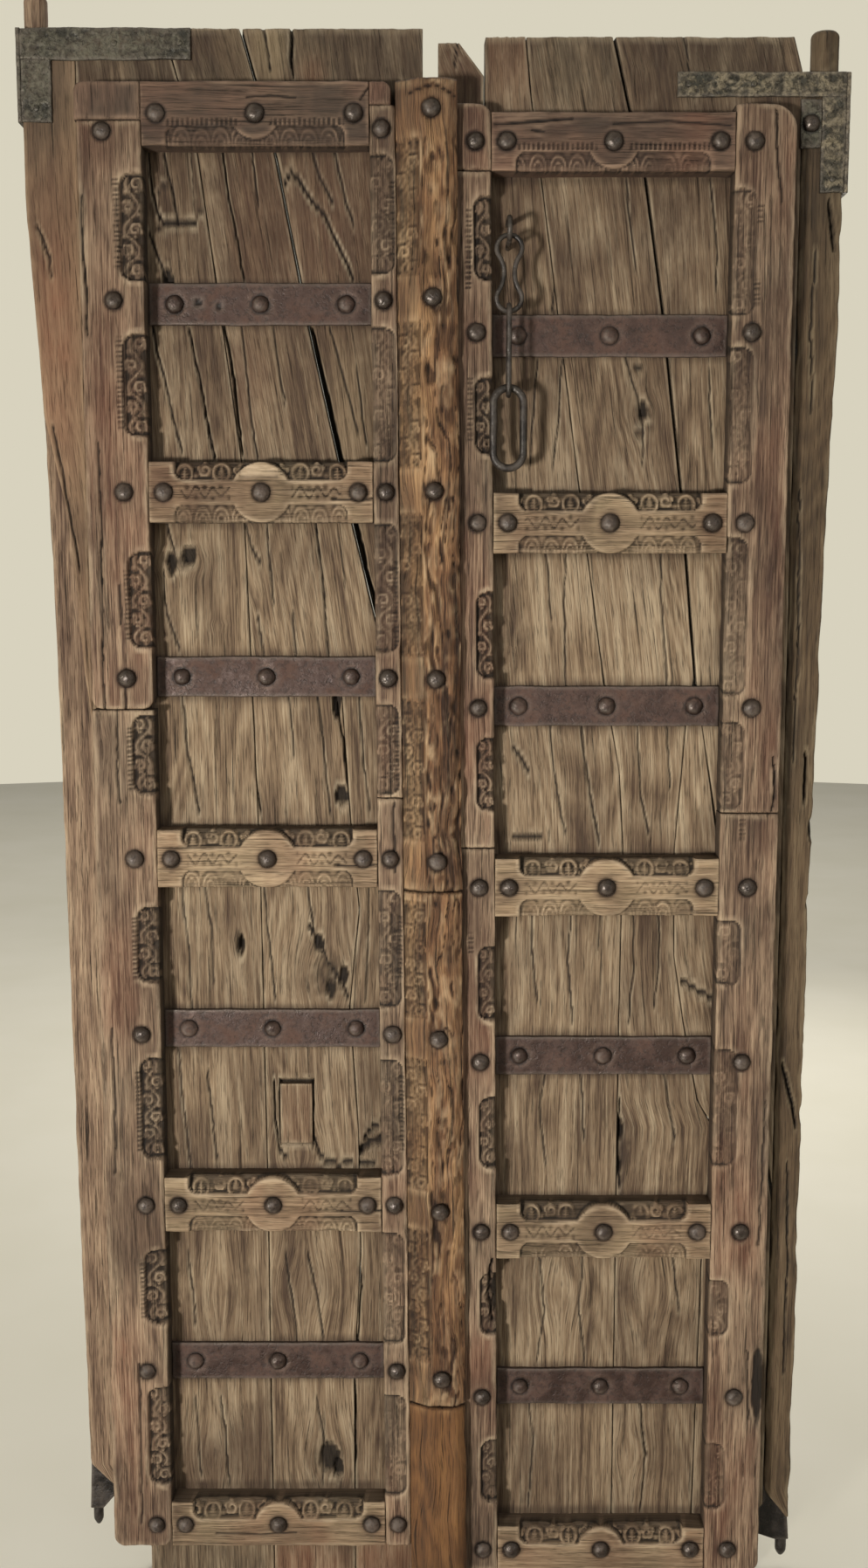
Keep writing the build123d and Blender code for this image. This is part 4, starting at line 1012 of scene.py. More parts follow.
def ornament(kind: Ornament, s: Array, w: Array, wide: float, pitch: float) -> Array:
    """Height from 0 to 1 of a carved band.

    Args:
        kind: which pattern.
        s: place along the band.
        w: place across it, from its root at 0 to its open edge.
        wide: width of the band.
        pitch: length of one repeat.

    Returns:
        For leaves a row of curls that lean to both sides of a wavy stem; for chips pointed hollows in pairs;
        for scallops arcs with a rib; for ticks short cuts across the band.
    """
    cell = np.floor(s / pitch)
    local = s - (cell + 0.5) * pitch + 0.07 * pitch * np.sin(cell * 7.3)
    w = w + 0.05 * wide * np.sin(cell * 4.1)
    side = np.where(cell % 2 == 0, 1.0, -1.0)
    if kind is Ornament.VINE:
        stem_at = wide * (0.5 - 0.3 * side * np.cos(np.pi * local / pitch))
        stem = bell(w - stem_at, 0.11 * wide)
        leaf = curl(local, (w - wide * (0.5 + 0.2 * side)) * side, 0.36 * wide, 1.0, 0.6)
        tip = bell(np.hypot(local + 0.36 * pitch, w - wide * (0.5 - 0.28 * side)), 0.15 * wide)
        return np.maximum(np.maximum(0.75 * stem, leaf), 0.8 * tip)
    if kind is Ornament.SCROLL:
        arch = np.hypot(local / 0.46, (w - 0.42 * wide) / 0.5) / wide
        rib = bell(arch - 0.95, 0.2)
        leaf_wide = 0.3 * wide * np.clip(1 - (w / wide - 0.1) / 0.8, 0, 1) ** 0.7
        leaf = smooth((leaf_wide - np.abs(local)) / 2.0) * (0.6 + 0.4 * np.cos(w * 1.6)) * smooth(w / 2.5)
        vein = bell(local, 1.0) * smooth((0.8 * wide - w) / 3.0)
        heart = np.maximum(rib, np.maximum(0.75 * leaf, vein))
        roll = curl(local + 0.08 * pitch, w - 0.52 * wide, 0.45 * wide, 1.0, 2.2)
        bead = bell(np.hypot(local - 0.42 * pitch, w - 0.2 * wide), 0.13 * wide)
        return np.maximum(np.where(cell % 2 == 0, heart, roll), 0.8 * bead)
    if kind is Ornament.CHIPS:
        wave = wide * (0.5 + 0.24 * side * np.cos(np.pi * local / pitch))
        line = bell(w - wave, 1.5)
        lobe = bell(np.hypot(local, (w - wide * (0.5 - 0.26 * side)) * 0.8), 2.6)
        return 1 - np.clip(0.9 * line + 0.7 * lobe, 0, 1)
    if kind is Ornament.SCALLOPS:
        arc = np.hypot(local / 0.5, (w - 0.9 * wide) / 0.85) / wide
        outer = bell(arc - 0.82, 0.13)
        inner = bell(arc - 0.42, 0.11)
        fan = 0.5 + 0.5 * np.cos(7 * np.arctan2(local, 0.9 * wide - w + 0.01))
        between = 0.5 * smooth((arc - 1.0) / 0.3)
        return np.clip(np.maximum(outer, 0.8 * inner) + 0.3 * fan * smooth(1.2 - arc) + between, 0, 1)
    cut = np.abs(local) / (0.28 * pitch)
    return 1 - smooth(1.4 - cut) * smooth(w / 1.5) * smooth((wide - w) / 1.5)


@dataclass
class Pocket:
    """A carved pocket of a stile, between two heights, with its width and its wear."""

    low: float
    high: float
    wide: float = 28.0
    worn: float = 0.25


def pockets_of(wide: float, *rows: Sequence[float]) -> list[Pocket]:
    """Pockets of one width: the two heights and, where it isn't the usual, the wear in each row."""
    return [Pocket(low, high, wide, *worn) for low, high, *worn in rows]


@dataclass
class Stile:
    """One length of a stile with carved pockets along an edge."""

    node: str
    left: Path
    right: Path
    low: float
    high: float
    seed: int
    carved_side: int = 0
    pockets: Sequence[Pocket] = ()
    ticks: Sequence[tuple[float, float, float]] = ()
    deep: float = 11.0
    corner_radii: tuple[float, float, float, float] = (0.0, 0.0, 0.0, 0.0)
    column_step: float = 2.1
    row_step: float = 2.6
    strength: float = 0.55
    ragged: float = 1.8
    finish: WoodFinish = FRAME_WOOD
    front: float = FRAME_THICK
    damage: list = field(default_factory=list)

    def outline(self, s: Array, z: Array, noise: Noise) -> tuple[Array, Array, Array]:
        """Left edge, right edge and x of the face, with worn edges and rounded corners."""
        left = edge_at(self.left, z) + 0.6 * self.ragged * noise.layers(z / 30.0, 2.5, 4)
        right = edge_at(self.right, z) + 0.6 * self.ragged * noise.layers(z / 30.0, 9.5, 4)
        radii = self.corner_radii
        for radius, at_low, at_left in zip(radii, (True, True, False, False), (True, False, True, False)):
            if radius <= 0:
                continue
            gone = np.clip(1 - ((z - self.low) if at_low else (self.high - z)) / radius, 0, 1)
            inset = radius * (1 - np.sqrt(1 - 0.999 * gone ** 2))
            left, right = (left + inset, right) if at_left else (left, right - inset)
        return left, right, left + (right - left) * s

    def relief(self) -> Relief:
        """The face: sunk pockets with a vine standing in them, tick cuts, fibres, cracks and rounded edges."""
        noise = Noise(self.seed)
        wide = float(edge_at(self.right, np.array(self.low)) - edge_at(self.left, np.array(self.low)))
        up = stations(self.high - self.low, self.row_step, 4)
        s, t = np.meshgrid(stations(wide, self.column_step, 4), up)
        tall = self.high - self.low
        z = self.low + tall * t
        left, right, x = self.outline(s, z, noise)
        relief = Relief(x, z, self.front)
        inner = (right - x) if self.carved_side > 0 else (x - left)
        for pocket in self.pockets:
            self.carve(relief, pocket, inner, noise)
        for low, high, place in self.ticks:
            w = (x - place) + 4.5
            cuts = 1 - ornament(Ornament.TICKS, z - low, w, 9.0, 6.2)
            relief.sink(1.7 * cuts * smooth((z - low) / 3.0) * smooth((high - z) / 3.0), 1.2)
        relief.suffer(self.damage, noise)
        relief.fibres(noise, self.strength)
        relief.weathered(noise)
        relief.height -= 1.1 * smooth(noise.layers(x / 22.0, z / 60.0, 3) * 2.2)
        radius = 4.0 * (1 + 0.45 * noise.at(z / 24.0, s * 3.0))
        relief.round_edges(radius, x - left, right - x, tall * t, tall * (1 - t))
        relief.height = np.minimum(relief.height, self.front)
        relief.rust(self.front)
        relief.settle(3, 2.2)
        relief.swirl += 6.0 * noise.layers(x / 140.0, z / 380.0, 2)
        return relief

    def carve(self, relief: Relief, pocket: Pocket, inner: Array, noise: Noise) -> None:
        """Sinks a pocket with quarter-round shoulders and leaves the vine standing in it."""
        z = relief.z + 1.2 * noise.layers(relief.x / 14.0, relief.z / 14.0, 2)
        shoulder = 15.0
        room = np.minimum(z - pocket.low, pocket.high - z)
        narrowing = shoulder * (1 - np.sqrt(1 - np.clip(1 - room / shoulder, 0, 1) ** 2))
        reach = pocket.wide - narrowing
        inside = smooth((reach - inner) / 2.2 + 0.5) * smooth(room / 2.0 + 0.5)
        count = max(2, round((pocket.high - pocket.low) / 25.0))
        pitch = (pocket.high - pocket.low) / count
        leaves = ornament(Ornament.VINE, z - pocket.low, pocket.wide - inner, pocket.wide, pitch)
        fade = 1 - pocket.worn * (1 + 1.4 * noise.layers(relief.x / 18.0, relief.z / 26.0, 2))
        standing = np.clip(leaves * fade, 0, 1) * smooth((reach - inner) / 3.0) * smooth(room / 5.0)
        floor = self.deep * (0.75 + 0.25 * smooth(1 - inner / pocket.wide))
        depth = inside * (floor - (floor - 1.6) * standing)
        relief.height -= depth
        # dirt and painted shade darken the sunk pocket; rubbed wear and a painted highlight pale the standing
        # leaves
        dirty = 0.45 + 0.45 * min(1.0, (self.deep - 3.0) / 8.0)
        relief.mark("cavity", inside * dirty * (1 - standing) ** 1.4)
        relief.mark("wear", 0.8 * inside * standing ** 2)

    def shell(self) -> Shell:
        """The stile as a closed block."""
        return block(self.relief(), 0.0, True, (4, 4), None, self.seed * 11.0, 0.2)


@dataclass
class Rail:
    """A carved rail: bands above and below a plain middle, a round boss and two end blocks."""

    node: str
    ends_low: tuple[float, float]
    ends_high: tuple[float, float]
    low: float
    high: float
    row: float
    seed: int
    bands: tuple[int, ...] = (-1, 1)
    boss: float = 38.0
    block_wide: float = 32.0
    middle_tall: float = 30.0
    middle_cut: bool = True
    step: float = 1.9
    worn: float = 0.2
    finish: WoodFinish = FRAME_WOOD
    fresh: Sequence[tuple[float, float, float, float]] = ()
    tick_rows: Sequence[float] = ()
    laps: Sequence[tuple[float, float, float]] = ()
    faded: float = 0.6
    damage: list = field(default_factory=list)

    def relief(self) -> Relief:
        """The face on a grid whose columns run from end to end and whose rows run from foot to head."""
        noise = Noise(self.seed)
        long = self.ends_low[1] - self.ends_low[0]
        tall = self.high - self.low
        s, t = np.meshgrid(stations(long, self.step, 4), stations(tall, self.step, 4))
        left = self.ends_low[0] + (self.ends_high[0] - self.ends_low[0]) * t
        right = self.ends_low[1] + (self.ends_high[1] - self.ends_low[1]) * t
        x = left + (right - left) * s
        wave = 1.0 * noise.layers(x / 35.0, 4.0, 3)
        z = self.low + tall * t + wave * smooth(t * 2 - 1) - 0.8 * wave * smooth(1 - t * 2)
        relief = Relief(x, z, FRAME_THICK)
        first, last = left + self.block_wide, right - self.block_wide
        middle = (self.ends_low[0] + self.ends_low[1]) / 2
        radial = np.hypot(x - middle, z - self.row)
        away_boss = radial - self.boss
        for side in self.bands:
            self.band(relief, side, first, last, middle, away_boss, noise)
        if self.middle_cut:
            w = z - (self.row - self.middle_tall / 2 + 3)
            cut_wide = self.middle_tall - 6
            chips = 1 - ornament(Ornament.CHIPS, x - middle, w, cut_wide, 11.0)
            room = np.minimum(np.minimum(x - first - 6, last - 6 - x), away_boss)
            inside = smooth(room / 3.0) * smooth(w / 2.0) * smooth((cut_wide - w) / 2.0)
            relief.sink(3.0 * chips * inside * (1 - 0.5 * self.worn), 0.8)
        for height in self.tick_rows:
            w = (z - height) + 5.0
            cuts = 1 - ornament(Ornament.TICKS, x, w, 10.0, 6.0)
            room = np.minimum(np.minimum(x - first, last - x), radial - 20.0)
            relief.sink(2.0 * cuts * smooth(room / 3.0), 1.1)
        for x0, x1, z0, z1 in self.fresh:
            worn = smooth((x - x0) / 5) * smooth((x1 - x) / 5) * smooth((z - z0) / 3) * smooth((z1 - z) / 3)
            relief.height -= 2.5 * worn
            relief.mark("wear", 1.6 * worn)
        relief.suffer(self.damage, noise)
        relief.fibres(noise, 0.45, 3.0, False)
        relief.weathered(noise)
        relief.mark("pale", self.faded)
        relief.height -= 0.9 * smooth(noise.layers(x / 40.0, z / 18.0, 3) * 2.2)
        radius = 3.4 * (1 + 0.5 * noise.at(x / 18.0, z / 18.0))
        relief.round_edges(radius, 4 * (x - left), 4 * (right - x), tall * t, tall * (1 - t))
        relief.height = np.minimum(relief.height, FRAME_THICK)
        relief.rust(FRAME_THICK)
        relief.settle(3, 2.0)
        relief.swirl += 5.0 * noise.layers(x / 160.0, z / 60.0, 2)
        return relief

    def band(self, relief: Relief, side: int, first: Array, last: Array, middle: float, away_boss: Array,
             noise: Noise) -> None:
        """Sinks one band: a cove that deepens to the rail's edge, with scrolls or scallops standing in it."""
        x, z = relief.x, relief.z
        root = self.row + side * self.middle_tall / 2
        edge = self.high if side > 0 else self.low
        wide = abs(edge - root)
        w = (z - root) * side
        corner = 14.0
        cut = corner * (1 - np.sqrt(1 - np.clip(1 - np.abs(w) / corner, 0, 1) ** 2))
        room = np.minimum(np.minimum(x - first - cut, last - cut - x), away_boss)
        inside = smooth(room / 1.8 + 0.4) * smooth(w / 1.6 + 0.3)
        kind = Ornament.SCROLL if side > 0 else Ornament.SCALLOPS
        pitch = 24.0 if side > 0 else 25.0
        along = np.abs(x - middle) - self.boss
        leaves = ornament(kind, along, w, wide, pitch)
        fade = 1 - self.worn * (1 + 1.6 * noise.layers(x / 20.0, z / 14.0, 2))
        standing = np.clip(leaves * fade, 0, 1) * smooth(room / 3.0)
        slope = 6.0 + 7.0 * np.clip(w / wide, 0, 1)
        deep = slope if side > 0 else 3.4 + 1.6 * np.clip(w / wide, 0, 1)
        relief.height -= inside * deep * (1 - 0.82 * standing)
        # dirt and painted shade darken the cove; rubbed wear and a painted highlight pale the standing scrolls
        dirty = 0.8 if side > 0 else 0.5
        relief.mark("cavity", dirty * inside * (1 - standing) ** 1.5)
        relief.mark("wear", 0.7 * inside * standing ** 2)

    def shell(self) -> Shell:
        """The rail as a closed block."""
        return block(self.relief(), 0.0, False, (4, 4), None, self.seed * 17.0, 0.2)


def strip_left(z: Array) -> Array:
    """Left edge of the cover strip at heights."""
    return STRIP_FOOT_X + (STRIP_HEAD_X - STRIP_FOOT_X) * z / STRIP_TOP


@dataclass
class StripLength:
    """One length of the cover strip: carved flank, eroded ridge, and a wing over the right leaf."""

    node: str
    low: float
    high: float
    seed: int
    finish: WoodFinish
    erosion: float = 1.0
    carving: Sequence[tuple[float, float]] = ()
    wide: float = 76.0
    body: float = 32.0
    deep: float = 60.0
    wing_back: float = 36.4
    damage: list = field(default_factory=list)

    def shell(self) -> Shell:
        """The section carried up the strip: its front from left to right, then the wing's underside."""
        noise = Noise(self.seed)
        tall = self.high - self.low
        spaces = int(round(tall / 3.4 / 4) * 4)
        t = np.linspace(0, 1, spaces + 1)[:, None]
        z = self.low + tall * t
        edge = np.array([0.0, 0.4, 1.2])
        front = np.concatenate([edge, np.linspace(2.4, self.wide - 2.4, 44), self.wide - edge[::-1]])
        w = front[None, :]
        nick = 1.3 * noise.layers(z / 26.0, 3.0, 4)
        left = strip_left(z) + 0.6
        x = left + w + (nick + 1.2 * noise.layers(z / 60.0, 7.0, 3) - 0.8) * smooth((w - 50) / 26.0)
        zz = np.broadcast_to(z, x.shape).copy()
        relief = Relief(x, zz, self.deep)
        relief.height -= 17.0 * np.clip(1 - w / 30.0, 0, 1) ** 1.15
        relief.height -= 10.0 * np.clip((w - (self.wide - 16.0)) / 16.0, 0, 1) ** 1.6
        for low, high in self.carving:
            zone = smooth((zz - low) / 8.0) * smooth((high - zz) / 8.0)
            band = zone * smooth((30.0 - w) / 3.0)
            leaves = ornament(Ornament.VINE, zz - low, w, 27.0, 21.0)
            fade = 1 - 0.35 * (1 + 1.3 * noise.layers(x / 16.0, zz / 22.0, 2))
            standing = np.clip(leaves * fade, 0, 1)
            relief.height -= 5.0 * band * (1 - standing)
            # dirt and painted shade darken the carved ground; rubbed wear and a painted highlight pale the
            # standing leaves
            relief.mark("cavity", 0.75 * band * (1 - standing) ** 1.5)
            relief.mark("wear", 0.8 * band * standing)
        ridge = smooth((w - 26.0) / 6.0) * (0.25 + 0.75 * smooth((1932.0 - zz) / 30.0))
        bend = 10.0 * noise.layers(zz / 90.0, w / 60.0, 3)
        across = w + bend
        lines = np.abs(noise.at(across / 8.5, zz / 85.0)) * 2.2
        lines = lines + 0.25 * np.abs(noise.at(across / 5.0, zz / 24.0))
        furrow = smooth(1.25 - lines / 0.3)
        knobs = noise.layers(across / 13.0, zz / 30.0, 3)
        chips = smooth(noise.layers(across / 8.0, zz / 20.0, 2) * 3.4 - 0.8)
        relief.height -= self.erosion * ridge * (3.6 * furrow + 4.2 * (0.5 - 0.9 * knobs) + 3.0 * chips)
        # dirt and painted shade darken the furrows and hollows; wear and a painted highlight pale the knob tops
        # and the crest
        dark = np.clip(0.75 * furrow + 0.5 * chips + 0.5 * np.clip(-knobs * 2.0, 0, 1), 0, 1)
        relief.mark("cavity", self.erosion * ridge * dark)
        relief.mark("wear", self.erosion * ridge * np.clip(knobs * 2.6 - 0.2, 0, 1) * (1 - furrow))
        crest = bell(w - 29.0 - 1.5 * noise.at(zz / 12.0, 4.0), 1.8)
        relief.mark("wear", 0.8 * self.erosion * crest * smooth(noise.layers(zz / 22.0, 1.0, 2) * 3 + 0.6))
        flank = smooth((28.0 - w) / 6.0) * np.ones_like(zz)
        relief.pale = 0.35 * self.erosion * flank * (0.6 + 0.8 * noise.layers(zz / 60.0, w / 20.0, 2))
        relief.green = 0.25 * self.erosion * flank
        relief.rust(self.deep)
        relief.suffer(self.damage, noise)
        ends = np.minimum(zz - self.low, self.high - zz)
        relief.height -= 3.0 * np.clip(1 - ends / 4.0, 0, 1) ** 2
        relief.height = np.clip(relief.height, self.wing_back + 2.5, self.deep - 0.1)
        relief.settle(3, 2.4)
        rear = [(self.wide, self.wing_back), (self.wide * 0.7, self.wing_back), (self.body, self.wing_back),
            (self.body, self.wing_back / 2), (self.body, 0.0), (self.body / 2, 0.0), (0.0, 0.0), (0.0, 20.0)]
        rear_w, rear_d = np.array(rear).T[:, None, :]
        rear_d = rear_d + np.zeros_like(z)
        rear_x = left + rear_w + (x[:, -1:] - left - self.wide) * (rear_w > self.body + 1)
        loop_x = np.concatenate([x, rear_x], 1)
        loop_d = np.concatenate([relief.height, rear_d], 1)
        loop_z = np.broadcast_to(z, loop_x.shape)
        points = np.stack([loop_x, FACE_Y - loop_d, loop_z], -1).reshape(-1, 3)
        f, wall = ringed(*loop_x.shape)
        smooth_part = wall[:, :x.shape[1] - 1].reshape(-1, 4)
        flat_part = wall[:, x.shape[1] - 1:].reshape(-1, 4)
        foot, top = f[0][None, ::-1], f[-1][None, :]
        grain = np.stack([loop_x + np.concatenate([bend, np.zeros_like(rear_x)], 1), loop_d, loop_z], -1)
        grain = (grain.reshape(-1, 3) + [self.seed * 41.0, 0, self.seed * 97.0]) / 1000.0

        def whole(values: Array, behind: float = 0.0) -> Array:
            """A layer of the face carried on over the rear."""
            return np.concatenate([values, np.full(rear_x.shape, behind)], 1)

        marks = np.stack([whole(relief.cavity, 0.15), whole(relief.wear), whole(relief.stain)], -1).reshape(-1,
            3)
        tone = np.stack([whole(relief.green), whole(relief.pale), whole(relief.red)], -1).reshape(-1, 3)
        return Shell(points, [(smooth_part, True), (flat_part, False), (foot, False), (top, False)], grain,
            marks, tone)


@dataclass
class Plate:
    """A flat forged strap or plate between two edges, with soft arrises and a slightly uneven face."""

    left: Path
    right: Path
    low: float
    high: float
    back: float
    front: float
    seed: int
    step: float = 3.6
    ragged: float = 0.8
    damage: list = field(default_factory=list)
    flaky: float = 0.0

    def shell(self) -> Shell:
        """The plate as a closed block."""
        noise = Noise(self.seed)
        z_line = np.linspace(self.low, self.high, 9)
        wide = float(np.max(edge_at(self.right, z_line) - edge_at(self.left, z_line)))
        s, t = np.meshgrid(stations(wide, self.step, 2), stations(self.high - self.low, self.step, 2))
        z = self.low + (self.high - self.low) * t
        x_rough = edge_at(self.left, z) + (edge_at(self.right, z) - edge_at(self.left, z)) * s
        z = z + self.ragged * noise.layers(x_rough / 28.0, 1.0, 4) * (2 * t - 1)
        left = edge_at(self.left, z) + 0.5 * self.ragged * noise.layers(z / 18.0, 5.0, 3)
        right = edge_at(self.right, z) + 0.5 * self.ragged * noise.layers(z / 18.0, 9.0, 3)
        x = left + (right - left) * s
        relief = Relief(x, z, self.front)
        relief.height += 0.35 * noise.layers(x / 30.0, z / 22.0, 3) - 0.2
        relief.suffer(self.damage, noise)
        tall = self.high - self.low
        relief.round_edges(np.full(x.shape, 1.6), x - left, right - x, tall * t, tall * (1 - t))
        if self.flaky > 0:
            flakes = smooth(noise.layers(x / 11.0, z / 9.0, 4) * 3.0 + 0.35)
            relief.height -= 0.9 * (1 - flakes)
            relief.mark("stain", self.flaky * flakes)
        relief.height = np.clip(relief.height, self.back + 1.0, self.front)
        relief.rust(self.front)
        relief.settle(2, 1.2)
        return block(relief, self.back, False, (2, 2), None, self.seed * 5.0, 0.0)


@dataclass
class Stud:
    """A forged stud head: a dome that is flat on top, hammered at its sides, on a thin rim."""

    radius: float = 12.0
    tall: float = 7.8
    rings: int = 9
    segments: int = 20

    def shell(self, x: float, z: float, depth: float, seed: int) -> Shell:
        """Rings from the rim to the crown: height is the tall share (1 - r^2.6), with dents from noise."""
        rng = np.random.default_rng(seed)
        share = np.array([1.0, 0.985, 0.93, 0.84, 0.72, 0.58, 0.42, 0.24, 0.08])[: self.rings, None]
        angle = np.linspace(0, 2 * np.pi, self.segments, endpoint=False)[None, :]
        phase, lobes = rng.uniform(0, 6.28), rng.integers(4, 7)
        radius = self.radius * rng.uniform(0.9, 1.0) * (1 + 0.025 * np.cos(lobes * angle + phase)
                                                       + 0.015 * np.cos(11 * angle))
        u, v = radius * share * np.cos(angle), radius * share * np.sin(angle)
        tall = self.tall * rng.uniform(0.84, 0.97)
        rise = tall * (1 - share ** 2.6) * (1 + 0.05 * np.cos(lobes * angle + phase) * share)
        tip = rng.uniform(-0.16, 0.16, 2)
        lean = 1 + tip[0] * np.cos(angle) * share + tip[1] * np.sin(angle) * share
        rise = np.clip(rise * lean, 0.0, self.tall)
        rise = rise + np.array([0.0, 0.8] + [0.9] * 7)[: self.rings, None] * (1 - rise / self.tall)
        rise = np.clip(rise, 0, self.tall)
        points = np.stack([x + u, FACE_Y - depth - rise, z + v], -1).reshape(-1, 3)
        f, wall = ringed(self.rings, self.segments)
        crown, seat = f[-1][None, :], f[0][None, ::-1]
        marks = np.zeros((len(points), 3))
        # painted shade: the outer rings at the stud's foot are darkened
        marks[:, 0] = np.clip((share - 0.8) * 3.0, 0, 0.6).repeat(self.segments, 1).ravel()
        # painted highlight: a pale band on the dome's lower left side, the side towards the key lamp
        marks[:, 1] = (bell(share - 0.55, 0.2) * (0.5 + 0.5 * np.cos(angle - 3.9))).ravel()
        return Shell(points, [(wall.reshape(-1, 4), True), (crown, True), (seat, False)], points / 1000.0,
            marks)


@dataclass
class StudSet:
    """All the stud heads of one CAD node."""

    node: str
    seed: int

    def build(self) -> None:
        """Puts a forged head on each place where the node has one."""
        shells = [Stud().shell(x, z, depth, self.seed + number)
                  for number, (x, z, depth) in enumerate(clusters(self.node))]
        finish = STRAP_STUD_IRON if "strap" in self.node else STUD_IRON
        install(self.node, shells, finish)


def tube(line: Array, radius: Array, normal: Array, closed: bool, sides: int = 14, flat: float = 0.0) -> Shell:
    """A bar along a plane line: rings of points round each place, in the line's normal and its side direction.

    Args:
        line: places along the middle, in millimetres, one row each.
        radius: radius at each place.
        normal: the unit vector across the line's plane.
        closed: whether the last place joins the first.
        sides: points in a ring.
        flat: how much the ring is flattened to a hammered square.
    """
    if closed:
        along = np.roll(line, -1, 0) - np.roll(line, 1, 0)
    else:
        along = np.gradient(line, axis=0)
    along /= np.linalg.norm(along, axis=1, keepdims=True)
    side = np.cross(along, normal)
    angle = np.linspace(0, 2 * np.pi, sides, endpoint=False)
    shape = 1 - flat * np.cos(4 * angle) ** 2
    across, along = (np.cos(angle) * shape)[None, :, None], (np.sin(angle) * shape)[None, :, None]
    ring = across * normal + along * side[:, None, :]
    points = (line[:, None, :] + radius[:, None, None] * ring).reshape(-1, 3)
    count = len(line)
    f, wall = ringed(count + 1 if closed else count, sides, True)
    faces = [((wall % (count * sides)).reshape(-1, 4), True)]
    if not closed:
        faces += [(f[0][None, :], False), (f[-1][None, ::-1], False)]
    noise = Noise(int(radius[0] * 100) + count)
    wear = np.clip(0.6 * noise.layers(points[:, 2] / 9.0, points[:, 0] / 7.0, 2) + 0.2, 0, 1)
    marks = np.stack([np.zeros(len(points)), wear, np.zeros(len(points))], -1)
    return Shell(points, faces, points / 1000.0, marks)


@dataclass
class HaspChain:
    """Staple, figure-eight link, long link and end ring, each a forged bar of slightly uneven thickness."""

    x: float = 93.0
    y: float = -33.0
    staple_z: float = 1816.0
    staple_r: float = 14.0
    staple_bar: float = 7.0
    eight_bar: float = 6.6
    eight_r: float = 15.7
    eight_reach: float = 30.0
    eight_waist: float = 6.5
    long_bar: float = 7.0
    long_span: float = 90.0
    ring_bar: float = 10.4
    ring_wide: float = 48.0
    ring_tall: float = 109.0
    gap: float = 0.45
    front: Array = field(default_factory=lambda: np.array([0.0, -1.0, 0.0]))
    edge: Array = field(default_factory=lambda: np.array([1.0, 0.0, 0.0]))

    def forge(self, node: str, line: Array, diameter: float, normal: Array, closed: bool, seed: int) -> None:
        """Puts one forging in place: a bar whose radius varies a little along its length."""
        places = np.linspace(0, 9, len(line), endpoint=not closed)
        fade = np.ones(len(line)) if not closed else 0.5 - 0.5 * np.cos(2 * np.pi * places / 9)
        radius = diameter / 2 * (0.96 + 0.035 * Noise(seed).at(places, 2.5) * fade)
        install(node, [tube(line, radius, normal, closed, 14, 0.05)], CHAIN_IRON)

    def oval(self, half: float, span: float, low: float, upright: Array) -> Array:
        """A closed oval line: two half circles joined by straight runs."""
        turn = np.linspace(0, np.pi, 22)
        run = np.linspace(0, 1, 12)[1:-1]
        u = np.concatenate([half * np.cos(turn), np.full(10, -half), -half * np.cos(turn), np.full(10, half)])
        v = np.concatenate([span + half * np.sin(turn), span * (1 - run), -half * np.sin(turn), span * run])
        return np.array([self.x, self.y, low]) + u[:, None] * upright + v[:, None] * np.array([0, 0, 1.0])

    def build(self) -> None:
        """Builds the four forgings, each hanging in the last."""
        turn = np.linspace(-np.pi / 2, np.pi / 2, 26)
        legs = np.linspace(66.0, 3.0, 12)
        y = np.concatenate([self.y + legs, self.y - self.staple_r * np.cos(turn), (self.y + legs)[::-1]])
        flat = np.full(len(legs), self.staple_r)
        z = np.concatenate([-flat, self.staple_r * np.sin(turn), flat])
        line = np.stack([np.full(len(y), self.x), y, self.staple_z + z], -1)
        self.forge("chain_staple", line, self.staple_bar, self.edge, False, 71)
        eight_top = self.staple_z - (self.staple_r - self.staple_bar / 2 - self.eight_bar / 2 - self.gap)
        waist_z = eight_top - self.eight_r - self.eight_reach
        self.eight(waist_z)
        long_half = self.ring_bar / 2 + 2 * self.gap + self.long_bar / 2
        long_top = waist_z - self.eight_reach - self.eight_r + self.eight_bar / 2 + self.gap + self.long_bar / 2
        long_foot = long_top - long_half - self.long_span
        line = self.oval(long_half, self.long_span, long_foot, np.array([0, 1.0, 0]))
        self.forge("long_link", line, self.long_bar, self.edge, True, 73)
        ring_half, ring_span = (self.ring_wide - self.ring_bar) / 2, self.ring_tall - self.ring_wide
        ring_top = long_foot - long_half + self.long_bar / 2 + self.gap + self.ring_bar / 2
        line = self.oval(ring_half, ring_span, ring_top - ring_half - ring_span, np.array([1.0, 0, 0]))
        self.forge("end_ring", line, self.ring_bar, self.front, True, 74)

    def eight(self, waist_z: float) -> None:
        """The figure-eight link: two arcs of the loops joined by the arcs of the waist."""
        reach, big = self.eight_reach, self.eight_r
        waist_r = (self.eight_waist ** 2 + reach ** 2 - big ** 2) / (2 * (big - self.eight_waist))
        waist_x = self.eight_waist + waist_r
        lean = math.atan2(reach, waist_x)
        top = np.linspace(-lean, np.pi + lean, 30)
        neck = np.linspace(lean, -lean, 14)[1:-1]
        foot = np.linspace(np.pi - lean, 2 * np.pi + lean, 30)
        u = np.concatenate([big * np.cos(top), -waist_x + waist_r * np.cos(neck), big * np.cos(foot),
                            waist_x - waist_r * np.cos(neck)])
        v = np.concatenate([reach + big * np.sin(top), waist_r * np.sin(neck), -reach + big * np.sin(foot),
                            -waist_r * np.sin(neck)])
        line = np.stack([self.x + u, np.full(len(u), self.y), waist_z + v], -1)
        self.forge("figure_eight_link", line, self.eight_bar, self.front, True, 72)


def straight(x: float) -> Path:
    """An upright edge."""
    return [(x, 0.0), (x, 2200.0)]


def leaning(head: float, foot: float) -> Path:
    """An edge that leans with the cover strip."""
    return [(foot, 0.0), (head, STRIP_TOP)]


def moved(line: Path, offset: float) -> list[tuple[float, float]]:
    """A line moved sideways."""
    return [(x + offset, z) for x, z in line]


